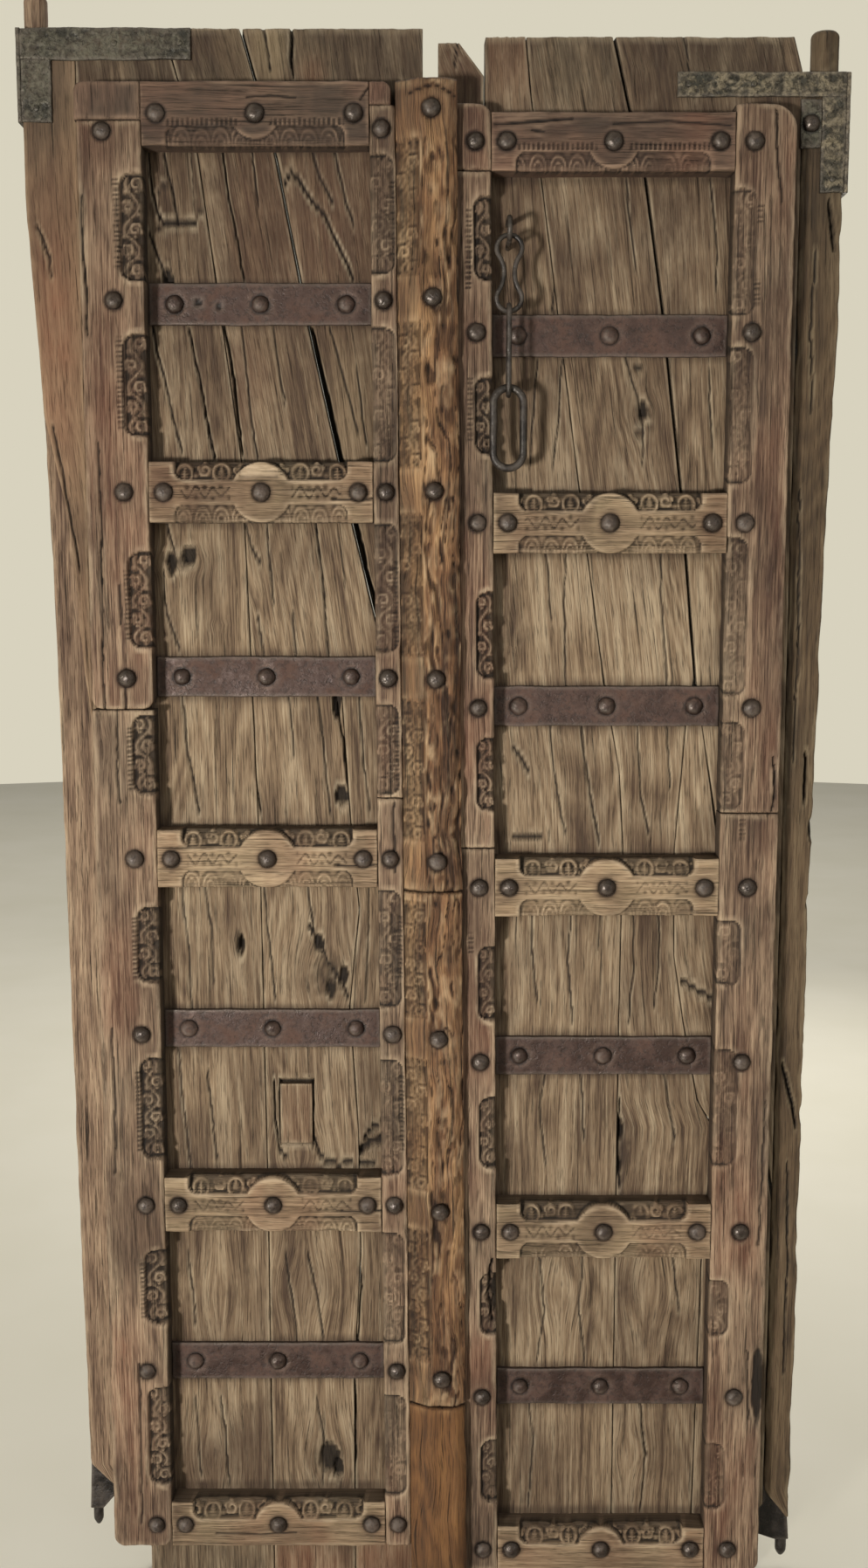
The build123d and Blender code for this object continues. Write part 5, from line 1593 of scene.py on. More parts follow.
LEFT_OUTER_LINE = [(-336, LEFT_HEAD), (-297, 1924), (-268, 1703), (-247, 1542), (-237, 1238), (-230, 1003),
    (-226, 596), (-224, 0)]
LEFT_WEDGE_LINE = [(-240, LEFT_HEAD), (-200, 1924), (-158, 1703), (-105, 1461), (-71, 1319), (-58, 1262)]
LEFT_LOWER_LINE = [(-122, 1262), (-110, 1072), (-99, 952), (-113, 820), (-102, 647), (-100, 474), (-110, 294),
    (-110, 0)]
RIGHT_INNER_LINE = [(114, RIGHT_HEAD), (122, 1980), (198, 1422), (222, 1255), (244, 1136), (250, 1034),
    (248, 800), (248, 0)]
RIGHT_OUTER_LINE = [(224, RIGHT_HEAD), (243, 1975), (264, 1898), (290, 1726), (317, 1507), (341, 1258),
    (345, 1224), (378, 1034), (460, 560)]
RIGHT_LOWER_LINE = [(332, 1224), (318, 1034), (320, 891), (334, 800), (356, 688), (378, 652), (366, 459),
    (358, 0)]


@dataclass
class PlankField:
    """The slanted planks of one leaf with their cracks, knots and stains."""

    side: str

    def build(self) -> None:
        """Builds every plank of the leaf."""
        boards = self.left_boards() if self.side == "left" else self.right_boards()
        for board in boards:
            install(board.node, [board.shell()], PANEL_WOOD)

    def left_boards(self) -> list[Board]:
        """The left leaf's planks; the middle one turns where the wedge ends."""
        foot = [(-446, LEFT_HEAD), (-446, 105), (-396, 55), (-396, 0)]
        middle_right = moved(LEFT_WEDGE_LINE, -2) + [(-122.6, 1261.5)] + moved(LEFT_LOWER_LINE, -0.6)[1:]
        cracks_outer = [
            *seams(2.0, 7, (-352, 1905, -347, 1850, -341, 1828, -333, 1812),
                (-352, 1800, -341, 1770, -332, 1745), (-325, 1235, -318, 1160, -305, 1080)),
            *seams(1.0, 7, (-341, 1812, -326, 1813, -296, 1817)),
            *seams(2.6, 7, (-333, 1900, -322, 1850, -317, 1815)),
            *seams(1.6, 7, (-352, 1690, -332, 1600, -318, 1540)),
            *seams(2.6, 12, (-305, 1688, -300, 1655, -290, 1600, -276, 1530)),
            *seams(1.5, 7, (-340, 1450, -330, 1410)),
            *seams(1.4, 4, (-345, 1385, -340, 1330, -326, 1290)),
            *seams(1.3, 4, (-300, 1000, -292, 930, -290, 850)),
            *seams(1.2, 4, (-330, 985, -322, 900, -318, 800), (-338, 760, -330, 650, -320, 570),
                (-330, 480, -322, 380), (-325, 270, -318, 160)),
            *seams(1.4, 5, (-300, 730, -290, 610), (-290, 275, -284, 210, -280, 150))]
        outer = Board("left_plank_outer", foot, moved(LEFT_OUTER_LINE, -0.6), 0, LEFT_HEAD, 11, flare=(0, 0.5),
            damage=cracks_outer + [Tint(-330, 2030, 90, 70, 1.0), Cloud(-350, 2035, 90, 60, 1.0),
                Tint(-270, 2030, 30, 60, 0.0, 0.0, 0.8), Tint(-320, 20, 110, 40, 0.6),
                Splinter(on_planks([(-341, 1858), (-322, 1868), (-317, 1815), (-341, 1813)]), 2.2),
                Splinter(on_planks([(-300, 1905), (-290, 1905), (-276, 1840), (-296, 1818)]), 1.8),
            *spots(Hole, (-330, 1748, 7, 7, 9), (-312, 1408, 10, 5, 8), (-333, 1398, 7, 6, 8),
                (-253, 902, 5, 10, 14)),
            *spots(Knot, (-322, 1400, 17, 9, 3.0), (-275, 1318, 7, 3, 1.2), (-256, 905, 9, 17, 2.0),
                (-290, 420, 16, 34, 1.0), (-300, 190, 18, 30, 1.0)),
            *spots(Cloud, (-300, 1860, 30, 45, 0.9), (-330, 1640, 22, 60, 0.7), (-300, 1395, 40, 40, 0.5),
                (-345, 1300, 16, 60, 0.7), (-350, 930, 14, 60, 0.8), (-330, 560, 40, 30, 0.5),
                (-320, 1080, 30, 40, 0.5), (-400, 30, 80, 30, 0.7))])
        middle = Board("left_plank_middle", moved(LEFT_OUTER_LINE, 0.6), middle_right, 0, LEFT_HEAD, 12,
            damage=[
            Tint(-200, 1830, 60, 110, 0.2, 0, 0.6), Tint(-245, 2030, 26, 60, 0.9, 0.5),
            Tint(-240, 1640, 30, 60, 0, 0, 0.5), Tint(-180, 20, 60, 40, 0.0, 0.0, 0.8),
            *seams(2.2, 7, (-262, 1905, -255, 1860, -242, 1780, -236, 1750),
                (-165, 930, -150, 905, -140, 880, -120, 850, -112, 830)),
            *seams(2.4, 9, (-292, 1820, -283, 1780, -275, 1748), (-212, 716, -211, 670, -206, 625, -196, 612)),
            *seams(1.3, 4, (-225, 1905, -216, 1840), (-170, 480, -160, 430, -150, 360),
                (-160, 270, -150, 210, -152, 150)),
            *seams(3.2, 14, (-262, 1690, -255, 1650, -247, 1590, -241, 1535)),
            *seams(1.4, 4, (-240, 1690, -232, 1600, -222, 1530), (-240, 1450, -232, 1420, -222, 1400),
                (-225, 1330, -218, 1282)),
            *seams(1.2, 4, (-200, 1690, -188, 1600), (-212, 1450, -205, 1350), (-180, 1335, -176, 1285),
                (-222, 990, -216, 900, -208, 830), (-165, 990, -156, 900), (-200, 480, -190, 400, -184, 340)),
            *seams(2.0, 8, (-150, 1450, -142, 1380, -134, 1282), (-160, 716, -161, 626)),
            *seams(2.2, 8, (-242, 1232, -236, 1180, -230, 1120, -224, 1080)),
            *seams(1.3, 5, (-150, 1232, -140, 1140, -134, 1076)),
            *seams(1.1, 4, (-187, 1232, -180, 1150), (-230, 270, -222, 150)),
            *seams(2.6, 9, (-165, 700, -160, 640, -150, 612, -128, 602, -110, 606)),
            *spots(Hole, (-125, 1218, 6, 22, 8), (-118, 1100, 10, 7, 9), (-150, 905, 7, 9, 4),
                (-135, 845, 7, 13, 6), (-118, 862, 6, 14, 8), (-142, 186, 15, 22, 7), (-130, 168, 8, 10, 9)),
            *seams(2.6, 12, (-126, 1225, -120, 1190, -112, 1130, -108, 1085)),
            *spots(Knot, (-240, 1440, 10, 7, 1.5), (-228, 1368, 4, 6, 1.2), (-226, 1355, 4, 4, 1.2),
                (-140, 865, 22, 26, 2.0), (-180, 620, 22, 22, 0.8), (-175, 430, 26, 34, 1.0),
                (-150, 180, 22, 34, 1.5)), Splinter([(-209.6, 627.4), (-162.4, 627.4), (-162.4, 714.6),
                (-209.6, 714.6)], 9.9),
            *spots(Cloud, (-170, 1420, 70, 60, 0.7), (-225, 1700, 40, 60, 0.5), (-190, 1560, 40, 60, 0.5),
                (-250, 1080, 60, 30, 0.6), (-250, 980, 70, 30, 0.8), (-150, 900, 40, 50, 0.5),
                (-150, 720, 60, 30, 0.5), (-140, 190, 40, 40, 0.6), (-215, 1880, 40, 30, 0.6),
                (-150, 1180, 30, 50, 0.5))])
        wedge = Board("left_plank_wedge", moved(LEFT_WEDGE_LINE, 2), straight(MEETING_EDGE), WEDGE_FOOT,
                LEFT_HEAD, 13, flare=(3.3, 0),
            damage=[Crack(moved(LEFT_WEDGE_LINE, 3.2)[2:5], 3.2, 22), Tint(-208, 2035, 24, 60, 0.6, 1.0),
            Tint(-150, 2010, 16, 22, 0, 0.4, 1.0), Tint(-80, 2040, 70, 60, 1.0),
            Cloud(-70, 2040, 70, 60, 1.0), Tint(-100, 1600, 40, 120, 0.0, 0.5),
            Tint(-120, 1830, 90, 120, 0.3, 0, 0.6),
            *seams(1.9, 7, (-184, 1862, -176, 1876, -168, 1870, -150, 1842, -135, 1825, -122, 1795, -108, 1768,
                -100, 1750)),
            *seams(1.4, 4, (-150, 1900, -140, 1870, -124, 1840)),
            *seams(1.6, 4, (-122, 1905, -110, 1850, -100, 1815)),
            *seams(1.2, 4, (-130, 1690, -112, 1620, -95, 1560), (-98, 1640, -86, 1550)),
            *seams(3.5, 16, (-176, 2066, -175, 2010, -172, 1990)),
            *seams(2.0, 6, (-214, 2062, -206, 2030, -200, 1996)),
            *spots(Cloud, (-120, 1850, 50, 40, 0.7), (-110, 1620, 40, 50, 0.4), (-100, 2030, 100, 40, 0.8))])
        lower = Board("left_plank_lower", moved(LEFT_LOWER_LINE, 0.6), straight(MEETING_EDGE), 0,
                WEDGE_FOOT - 0.4, 14, flare=(0.5, 0),
            damage=[
            Tint(-70, 20, 60, 40, 0, 0.3, 1.0),
            *seams(1.3, 4, (-96, 1232, -92, 1160, -84, 1080)),
            *seams(1.2, 4, (-84, 990, -86, 900, -90, 830)),
            *seams(4.6, 18, (-112, 604, -100, 620, -86, 632, -64, 640)),
            *seams(2.8, 12, (-92, 640, -80, 655, -66, 662)),
            *seams(1.8, 8, (-112, 604, -96, 603, -78, 608)),
            *seams(2.6, 9, (-104, 500, -98, 430, -104, 350)),
            *seams(3.2, 14, (-108, 300, -107, 270, -108, 150)),
            *spots(Cloud, (-90, 1180, 26, 60, 0.6), (-85, 830, 26, 40, 0.7), (-85, 430, 20, 60, 0.5),
                (-80, 640, 30, 40, 0.9))])
        return [outer, middle, wedge, lower]

    def right_boards(self) -> list[Board]:
        """The right leaf's meeting board and planks."""
        meeting_top = [(62, 0), (62, 2010), (31, 2049)]
        meeting = Board("right_meeting_board", straight(5), meeting_top, 0, 2049, 21, flare=(0, 0.9),
            damage=[
            Tint(35, 2030, 40, 40, 0.3, 0, 0.4),
            *seams(1.5, 4, (30, 2040, 24, 2000)),
            *spots(Cloud, (30, 1980, 30, 60, 0.5))])
        inner = Board("right_plank_inner", straight(64), moved(RIGHT_INNER_LINE, -0.6), 0, RIGHT_HEAD, 22,
                flare=(0.9, 0.5),
            damage=[
            Tint(100, 2030, 50, 60, 0.0, 0.3, 0.7), Tint(160, 2040, 20, 40, 0.8),
            Cloud(140, 2030, 80, 40, 0.8), Tint(200, 1850, 60, 60, 0, 0, 0.4),
            *seams(1.6, 5, (114, 2050, 116, 2010, 121, 1962)),
            *spots(Cloud, (180, 1820, 45, 60, 0.7), (150, 1760, 60, 60, 0.4), (120, 1180, 30, 60, 0.5),
                (130, 1010, 60, 24, 0.6), (200, 640, 30, 60, 0.6), (110, 600, 30, 50, 0.5),
                (150, 480, 60, 30, 0.4), (230, 1600, 30, 60, 0.6)),
            *spots(Knot, (196, 1722, 4, 4, 1.2), (207, 1838, 2.5, 2.5, 1.2), (210, 1630, 6, 8, 2.5),
                (100, 1330, 5, 28, 1.5), (108, 1300, 4, 10, 1.5), (170, 430, 20, 30, 0.8)),
            *seams(1.3, 4, (182, 1740, 178, 1708)),
            *seams(1.0, 3, (150, 1740, 146, 1710)),
            *spots(Hole, (210, 1634, 4, 4, 5), (232, 1535, 4, 6, 6)),
            *seams(1.4, 4, (196, 1660, 192, 1600, 190, 1560)),
            *seams(1.2, 4, (130, 1650, 124, 1580, 120, 1520), (160, 1650, 158, 1590, 150, 1520),
                (170, 1440, 166, 1360, 170, 1240), (130, 980, 128, 900, 136, 830), (220, 1000, 216, 900),
                (200, 480, 196, 400, 204, 330)),
            *seams(1.1, 4, (140, 1440, 150, 1330), (150, 1190, 156, 1120, 170, 1050),
                (180, 980, 176, 880, 184, 800), (150, 760, 140, 680, 150, 600), (190, 760, 196, 700, 200, 640),
                (140, 480, 150, 400, 140, 330), (130, 270, 136, 200, 130, 120)),
            *seams(1.3, 5, (200, 1440, 208, 1340, 218, 1250)),
            *seams(1.6, 6, (190, 1190, 200, 1110, 214, 1040)),
            *seams(3.0, 6, (102, 1165, 112, 1150, 122, 1132)),
            *seams(1.5, 5, (103, 1048, 120, 1049, 140, 1047))])
        middle_right = moved([corner for corner in RIGHT_OUTER_LINE if corner[1] > 1223],
            -2) + moved(RIGHT_LOWER_LINE, -0.6)
        middle_right = [corner for corner in middle_right if corner != (343, 1224)]
        middle = Board("right_plank_middle", moved(RIGHT_INNER_LINE, 0.6), middle_right, 0, RIGHT_HEAD, 23,
            damage=[
            Tint(180, 2035, 70, 60, 1.0), Cloud(190, 2035, 60, 50, 0.9),
            *seams(1.2, 4, (237, 1865, 245, 1800, 252, 1760), (262, 1190, 268, 1100, 280, 1050),
                (260, 980, 262, 880, 256, 800)),
            *spots(Knot, (255, 1640, 6, 8, 2.5), (262, 1585, 12, 12, 2.5), (258, 1560, 7, 9, 2.0),
                (246, 622, 13, 46, 2.0), (290, 430, 26, 40, 1.0), (262, 190, 22, 30, 0.9)),
            *spots(Hole, (262, 1588, 5, 9, 6), (246, 650, 6, 18, 9), (243, 600, 8, 14, 6)),
            *seams(1.5, 4, (238, 1660, 250, 1620, 262, 1580, 262, 1520)),
            *spots(Cloud, (262, 1590, 26, 60, 0.9), (246, 620, 34, 70, 0.9), (320, 700, 30, 50, 0.6),
                (290, 1000, 40, 30, 0.5), (230, 2000, 30, 50, 0.5), (250, 1830, 20, 60, 0.4)),
            *seams(1.1, 4, (285, 1440, 292, 1340, 300, 1240), (300, 1190, 306, 1110),
                (290, 980, 296, 900, 290, 820), (300, 760, 310, 690, 320, 640), (320, 480, 330, 400)),
            *seams(3.2, 9, (246, 690, 244, 640, 248, 575)),
            *seams(2.2, 8, (280, 270, 290, 190, 284, 110))])
        outer_left = moved(RIGHT_OUTER_LINE, 2)[:-1] + [(459, 572)]
        outer = Board("right_plank_outer", outer_left, [(448, RIGHT_HEAD), (459.5, RIGHT_PIVOT_HEAD),
                (459.8, 560)], 573, RIGHT_HEAD, 24, flare=(3.3, 0),
            damage=[
            Tint(350, 2035, 120, 60, 1.0), Cloud(320, 2035, 120, 50, 0.9),
            *seams(1.2, 4, (305, 2040, 312, 2000, 320, 1965), (345, 1640, 350, 1540)),
            *spots(Cloud, (340, 1840, 40, 60, 0.6), (330, 1680, 30, 60, 0.6), (400, 2010, 80, 60, 0.9)),
            *seams(1.1, 4, (340, 1870, 350, 1800, 352, 1740))])
        lower = Board("right_plank_lower", moved(RIGHT_LOWER_LINE, 0.6),
                [(347, 1224), (376, 1034), (459, 548), (459, 105), (447, 92), (447, 0)], 0, 1223, 25,
                flare=(0.5, 0.5),
            damage=[
            *seams(2.4, 9, (325, 855, 345, 842, 372, 828)),
            *spots(Cloud, (350, 560, 16, 60, 0.7)),
            *seams(3.0, 12, (358, 460, 355, 400, 351, 330))])
        return [meeting, inner, middle, outer, lower]


@dataclass
class PivotSide:
    """The board that each leaf turns on, its facing, its round tenon, and the forged shoe with its spike."""

    side: str

    def build(self) -> None:
        """Builds the boards, tenons and shoes of one side."""
        if self.side == "left":
            left = [(-514, LEFT_HEAD), (-514, 1868), (-500, 1580), (-493, 1308), (-486, 596), (-480, 160),
                (-446.5, 124)]
            board = Board("left_pivot_board", left, straight(LEFT_PIVOT_EDGE), 124, LEFT_HEAD, 31, -10.2, -40.0,
                3.0, 8.0, 3.0, 0.4, 1.0, 1.6, (0, 0.3))
            install("left_pivot_board", [board.shell(), self.tenon(-499, 39, 15, 2060, 2110, 61)], FRAME_WOOD)
            left = [(-514, LEFT_HEAD), (-514, 1868), (-498, 1594), (-470, 1460), (-455, 1260), (-446.6, 1201)]
            facing = Board("left_edge_facing", left, straight(LEFT_PIVOT_EDGE), 1201, LEFT_HEAD, 32, 0.0, -10.0,
                2.4, 6.0, 2.2, 0.35, 1.0, 1.4, (0, 0), [Crack([(-500, 1830), (-494, 1815), (-486, 1790),
                (-484, 1770)], 1.8, 5), Cloud(-490, 2000, 40, 110, 1.0), Cloud(-480, 1850, 30, 60, 0.5),
                Tint(-485, 2000, 50, 90, 0.8), Crack([(-487, 1580), (-470, 1480), (-458, 1400)], 1.6, 4),
                Tint(-480, 1700, 30, 160, 0, 0, 0.7)])
            install("left_edge_facing", [facing.shell()], FACING_WOOD)
            shoe = Plate([(-480, 160), (-483, 90)], [(-446.6, 123), (-446.6, 112), (-465, 90)], 90, 158, -35,
                -15, 33, 3.0, 0.6)
            spike = self.spike(-474, 39, 7, 62, 94)
            install("left_bottom_shoe", [shoe.shell(), spike], CHAIN_IRON)
            return
        right = [(514, RIGHT_PIVOT_HEAD), (514, 1990), (512, 1700), (502, 1300), (497, 900), (496, 83),
            (494, 80)]
        left = [(460.5, RIGHT_PIVOT_HEAD), (460.5, 126), (494, 84)]
        board = Board("right_pivot_board", left, right, 84, RIGHT_PIVOT_HEAD, 34, -0.2, -40.0, 2.6, 7.0, 3.0,
            0.5, 1.0, 3.6, (0.3, 0), [Crack([(488, 1160), (489, 1130), (487, 1100)], 3.0, 14),
            Crack([(470, 740), (480, 700), (490, 655)], 2.4, 10),
            Crack([(497, 1860), (501, 1830), (506, 1800)], 3.0, 10),
            Crack([(482, 1800), (478, 1700), (484, 1600)], 1.6, 5),
            Crack([(470, 1500), (474, 1300), (472, 1150)], 1.6, 5),
            Crack([(480, 600), (484, 450), (482, 300)], 1.6, 5), Cloud(490, 1900, 30, 200, 0.8),
            Hole(500, 1060, 6, 16, 10), Hole(501, 960, 6, 9, 10), Hole(499, 670, 5, 12, 9),
            Cloud(470, 1400, 30, 120, 0.4)])
        install("right_pivot_board", [board.shell(), self.tenon(490, 34, 18, 2008, 2066, 62)], GREY_WOOD)
        shoe = Plate([(460.6, 125), (460.6, 104), (451.5, 91), (451.5, 56), (480, 46)],
            [(496, 83), (498, 60), (499, 46)], 46, 122, -30, -10, 35, 3.0, 0.6)
        install("right_bottom_shoe", [shoe.shell(), self.spike(490, 34, 8, 18, 50)], CHAIN_IRON)

    @staticmethod
    def tenon(x: float, y: float, radius: float, low: float, high: float, seed: int) -> Shell:
        """A worn round tenon: an upright bar whose radius shrinks at its head by a quarter round."""
        z = np.concatenate([np.linspace(low, high - 6, 12), high - 6 * (1 - np.sin(np.linspace(0.25, 1.5, 7)))])
        shrink = np.clip((z - (high - 6)) / 6, 0, 1)
        noise = Noise(seed)
        rings = radius * (0.985 - 0.02 * np.abs(noise.at(z / 9.0, 1.0))) - 3.5 * shrink ** 2
        line = np.stack([np.full(len(z), x), np.full(len(z), y), z], -1)
        shell = tube(line, rings, np.array([0.0, -1.0, 0.0]), False, 28)
        shell.marks[:, 2] = 0.4
        return shell

    @staticmethod
    def spike(x: float, y: float, radius: float, low: float, high: float) -> Shell:
        """A forged spike with a blunt point."""
        z = np.array([low, low + 0.6, low + 2.5, low + 5, low + 8, low + 11, low + 16, high - 4, high])
        rings = radius * np.array([0.2, 0.38, 0.55, 0.76, 0.93, 0.98, 0.985, 0.985, 0.985])
        line = np.stack([np.full(len(z), x), np.full(len(z), y), z], -1)
        return tube(line, rings, np.array([0.0, -1.0, 0.0]), False, 20)


@dataclass
class LeafFrame:
    """The carved stiles and rails of one leaf."""

    side: str

    def build(self) -> None:
        """Builds the leaf's stiles and rails."""
        stiles = self.left_stiles() if self.side == "left" else self.right_stiles()
        for stile in stiles:
            install(stile.node, [stile.shell()], stile.finish)
        for rail in self.left_rails() if self.side == "left" else self.right_rails():
            shells = [rail.shell()] + [lap.shell() for lap in self.laps(rail)]
            install(rail.node, shells, rail.finish)

    def laps(self, rail: Rail) -> list[Stile]:
        """The ends of a cap that lap over the heads of the stiles."""
        pieces = []
        for number, (left, right, low) in enumerate(rail.laps):
            radii = (0.0, 0.0, 12.0, 0.0) if number == 0 else (0.0, 0.0, 0.0, 12.0)
            pieces.append(Stile(rail.node, straight(left), straight(right), low, rail.high,
                rail.seed + 5 + number, corner_radii=radii, finish=rail.finish, row_step=2.8, column_step=2.8))
        return pieces

    def left_stiles(self) -> list[Stile]:
        """The left leaf's stiles, each in two lengths; the outer one's feet are rounded."""
        out, edge = straight(-440), straight(-361)
        pockets = pockets_of(28.0, (1757, 1885), (1567, 1692), (1302, 1422))
        upper = Stile("left_outer_stile_upper", out, edge, 1222, 1948, 41, 1, pockets,
                [(1770, 1880, -393), (1575, 1690, -394), (1310, 1400, -391)], corner_radii=(14, 14, 0, 0),
            damage=[Crack([(-424, 1222), (-424, 1300), (-422, 1450), (-424, 1560)], 1.7, 5),
            Crack([(-397, 1222), (-397, 1250)], 2.0, 6),
            Crack([(-436, 1860), (-436, 1790), (-433, 1690)], 2.2, 6),
            Crack([(-400, 1380), (-399, 1330)], 1.4, 4), Cloud(-400, 1500, 30, 40, 0.8),
            Cloud(-405, 1925, 35, 30, 0.7), Cloud(-380, 1250, 40, 40, 0.5), Cloud(-395, 1733, 26, 26, 0.6)])
        pockets = pockets_of(28.0, (1112, 1214), (862, 962), (620, 758), (388, 492), (156, 296))
        lower = Stile("left_outer_stile_lower", out, edge, 65, 1221, 42, 1, pockets,
                [(1115, 1200, -392), (865, 950, -392), (630, 745, -392), (395, 480, -392)],
                corner_radii=(14, 14, 0, 0),
            damage=[Crack([(-408, 1221), (-410, 1150), (-407, 1100)], 1.4, 4),
            Crack([(-425, 800), (-423, 700), (-425, 600)], 1.2, 4), Knot(-432, 1172, 10, 16, 1.2),
            Crack([(-400, 330), (-400, 200), (-402, 100)], 1.2, 4), Cloud(-420, 1180, 30, 60, 0.5),
            Cloud(-400, 560, 30, 40, 0.5), Cloud(-410, 120, 30, 50, 0.6)])
        field_edge, strip_edge = leaning(-80, -66), leaning(-48, -31)
        pockets = pockets_of(30, (1765, 1908, 0.35), (1535, 1700, 0.35), (1296, 1458, 0.35), (1112, 1228, 0.35))
        inner_upper = Stile("left_inner_stile_upper", field_edge, strip_edge, 1107, 1966, 43, -1, pockets,
                [(1780, 1880, -52), (1300, 1415, -49), (1115, 1215, -48)], 6.0, finish=FRAME_WOOD,
            damage=[Cloud(-60, 1940, 30, 30, 0.6), Cloud(-60, 1497, 24, 30, 0.5)])
        pockets = pockets_of(30, (828, 985, 0.35), (598, 756, 0.4), (360, 516, 0.45), (140, 285, 0.5))
        inner_lower = Stile("left_inner_stile_lower", field_edge, strip_edge, 65, 1106, 44, -1, pockets,
                [(865, 955, -45), (630, 740, -43)], 6.0,
            damage=[Crack([(-52, 1100), (-52, 1060), (-50, 1010)], 1.3, 4), Cloud(-55, 560, 24, 40, 0.5)])
        return [upper, lower, inner_upper, inner_lower]

    def right_stiles(self) -> list[Stile]:
        """The right leaf's stiles: the outer one with a rounded head, the inner one under a short block."""
        out, edge = straight(447), straight(372)
        pockets = pockets_of(28, (1715, 1866, 0.45), (1508, 1676, 0.45), (1240, 1440, 0.4), (1092, 1206, 0.4))
        upper = Stile("right_outer_stile_upper", edge, out, 1087, 1968, 45, -1, pockets,
                [(1825, 1850, 404), (1725, 1760, 402)], 5.0, (0, 0, 0, 30),
            damage=[Crack([(420, 1960), (424, 1900), (430, 1850)], 1.4, 4), Cloud(420, 1850, 30, 80, 0.4),
            Crack([(438, 1160), (442, 1120), (440, 1090)], 2.2, 6), Cloud(390, 1223, 26, 26, 0.5)])
        pockets = [Pocket(858, 945, 30, 0.4), Pocket(610, 770, 30, 0.45), Pocket(370, 450, 26, 0.6),
            Pocket(120, 215, 26, 0.6)]
        lower = Stile("right_outer_stile_lower", edge, out, 28, 1086, 46, -1, pockets, [(1050, 1080, 400)], 5.0,
                (0, 14, 0, 0),
            damage=[Crack([(440, 700), (438, 600), (436, 500)], 1.4, 4),
            Crack([(425, 350), (428, 250)], 1.2, 4), Hole(440, 300, 8, 60, 4),
            Cloud(420, 900, 30, 60, 0.4)])
        left, right = moved(leaning(70, 88), -54), leaning(70, 88)
        block_piece = Stile("right_inner_stile_block", left, right, 1889, 1968, 47, corner_radii=(0, 0, 0, 15),
            damage=[Cloud(45, 1940, 30, 30, 0.7)])
        pockets = pockets_of(22, (1758, 1858, 0.2), (1545, 1640, 0.2), (1262, 1372, 0.15), (1090, 1185, 0.15))
        inner_upper = Stile("right_inner_stile_upper", left, right, 1041, 1888, 48, 1, pockets,
                [(1745, 1845, 43), (1560, 1640, 45)], 10.0,
            damage=[Crack([(30, 1150), (32, 1080)], 1.4, 4), Cloud(40, 1500, 24, 60, 0.4),
            Cloud(50, 1694, 24, 30, 0.5)])
        pockets = pockets_of(22, (810, 910, 0.3), (608, 705, 0.3), (372, 460, 0.45), (130, 220, 0.5))
        inner_lower = Stile("right_inner_stile_lower", left, right, 28, 1040, 49, 1, pockets, [(900, 930, 48)],
                9.0,
            damage=[Hole(83, 430, 6, 26, 10), Crack([(78, 480), (74, 430), (80, 390)], 3.0, 9),
            Hole(34, 360, 5, 10, 7), Cloud(60, 620, 24, 50, 0.4), Cloud(50, 283, 24, 40, 0.5)])
        return [upper, lower, block_piece, inner_upper, inner_lower]

    def left_rails(self) -> list[Rail]:
        """The left leaf's rails."""
        rails = [Rail("left_top_rail", (LEFT_FIELD_EDGE, -79.8), (LEFT_FIELD_EDGE, -80.4), 1918, 1994,
                LEFT_ROWS[-1], 51, (-1,), 30, 30, 26, False, finish=RED_WOOD, worn=0.3, faded=0.0,
                tick_rows=(1946,), laps=((-443, LEFT_FIELD_EDGE, 1949), (-79.6, -53, 1966.5)),
            damage=[Crack([(-230, 1975), (-200, 1977), (-170, 1974)], 1.2, 2.5), Cloud(-300, 1950, 40, 20, 0.5),
            Cloud(-215, 1950, 40, 30, 0.8), Crack([(-90, 1972), (-80, 1986)], 1.4, 3)])]
        for number, row in enumerate(LEFT_ROWS[6:0:-2], 1):
            right = -66 - 14 * row / STRIP_TOP
            fresh = [(-248, -193, row + 16, row + RAIL_HALF)] if number == 1 else []
            marks = [Cloud(-340, row, 30, 26, 0.6), Cloud(-100, row, 30, 26, 0.7),
            Cloud(-215, row + 5, 26, 20, 0.5), Crack([(-130, row - 8), (-95, row - 10), (-70, row - 7)],
                1.1, 3)]
            rails.append(Rail(f"left_rail_{number}", (LEFT_FIELD_EDGE, right - 0.6),
                    (LEFT_FIELD_EDGE, right - 0.6), row - RAIL_HALF, row + RAIL_HALF, row, 51 + number,
                    fresh=fresh, worn=0.15 + 0.12 * number,
                damage=marks))
        row = LEFT_ROWS[0]
        rails.append(Rail("left_bottom_rail", (LEFT_FIELD_EDGE, -67), (LEFT_FIELD_EDGE, -67.2), 65, 129, row,
                55, (1,), 32, 30, 16, False, worn=0.4,
            damage=[Cloud(-200, 80, 120, 20, 0.5), Crack([(-300, 84), (-240, 82), (-190, 85)], 1.2, 3)]))
        return rails

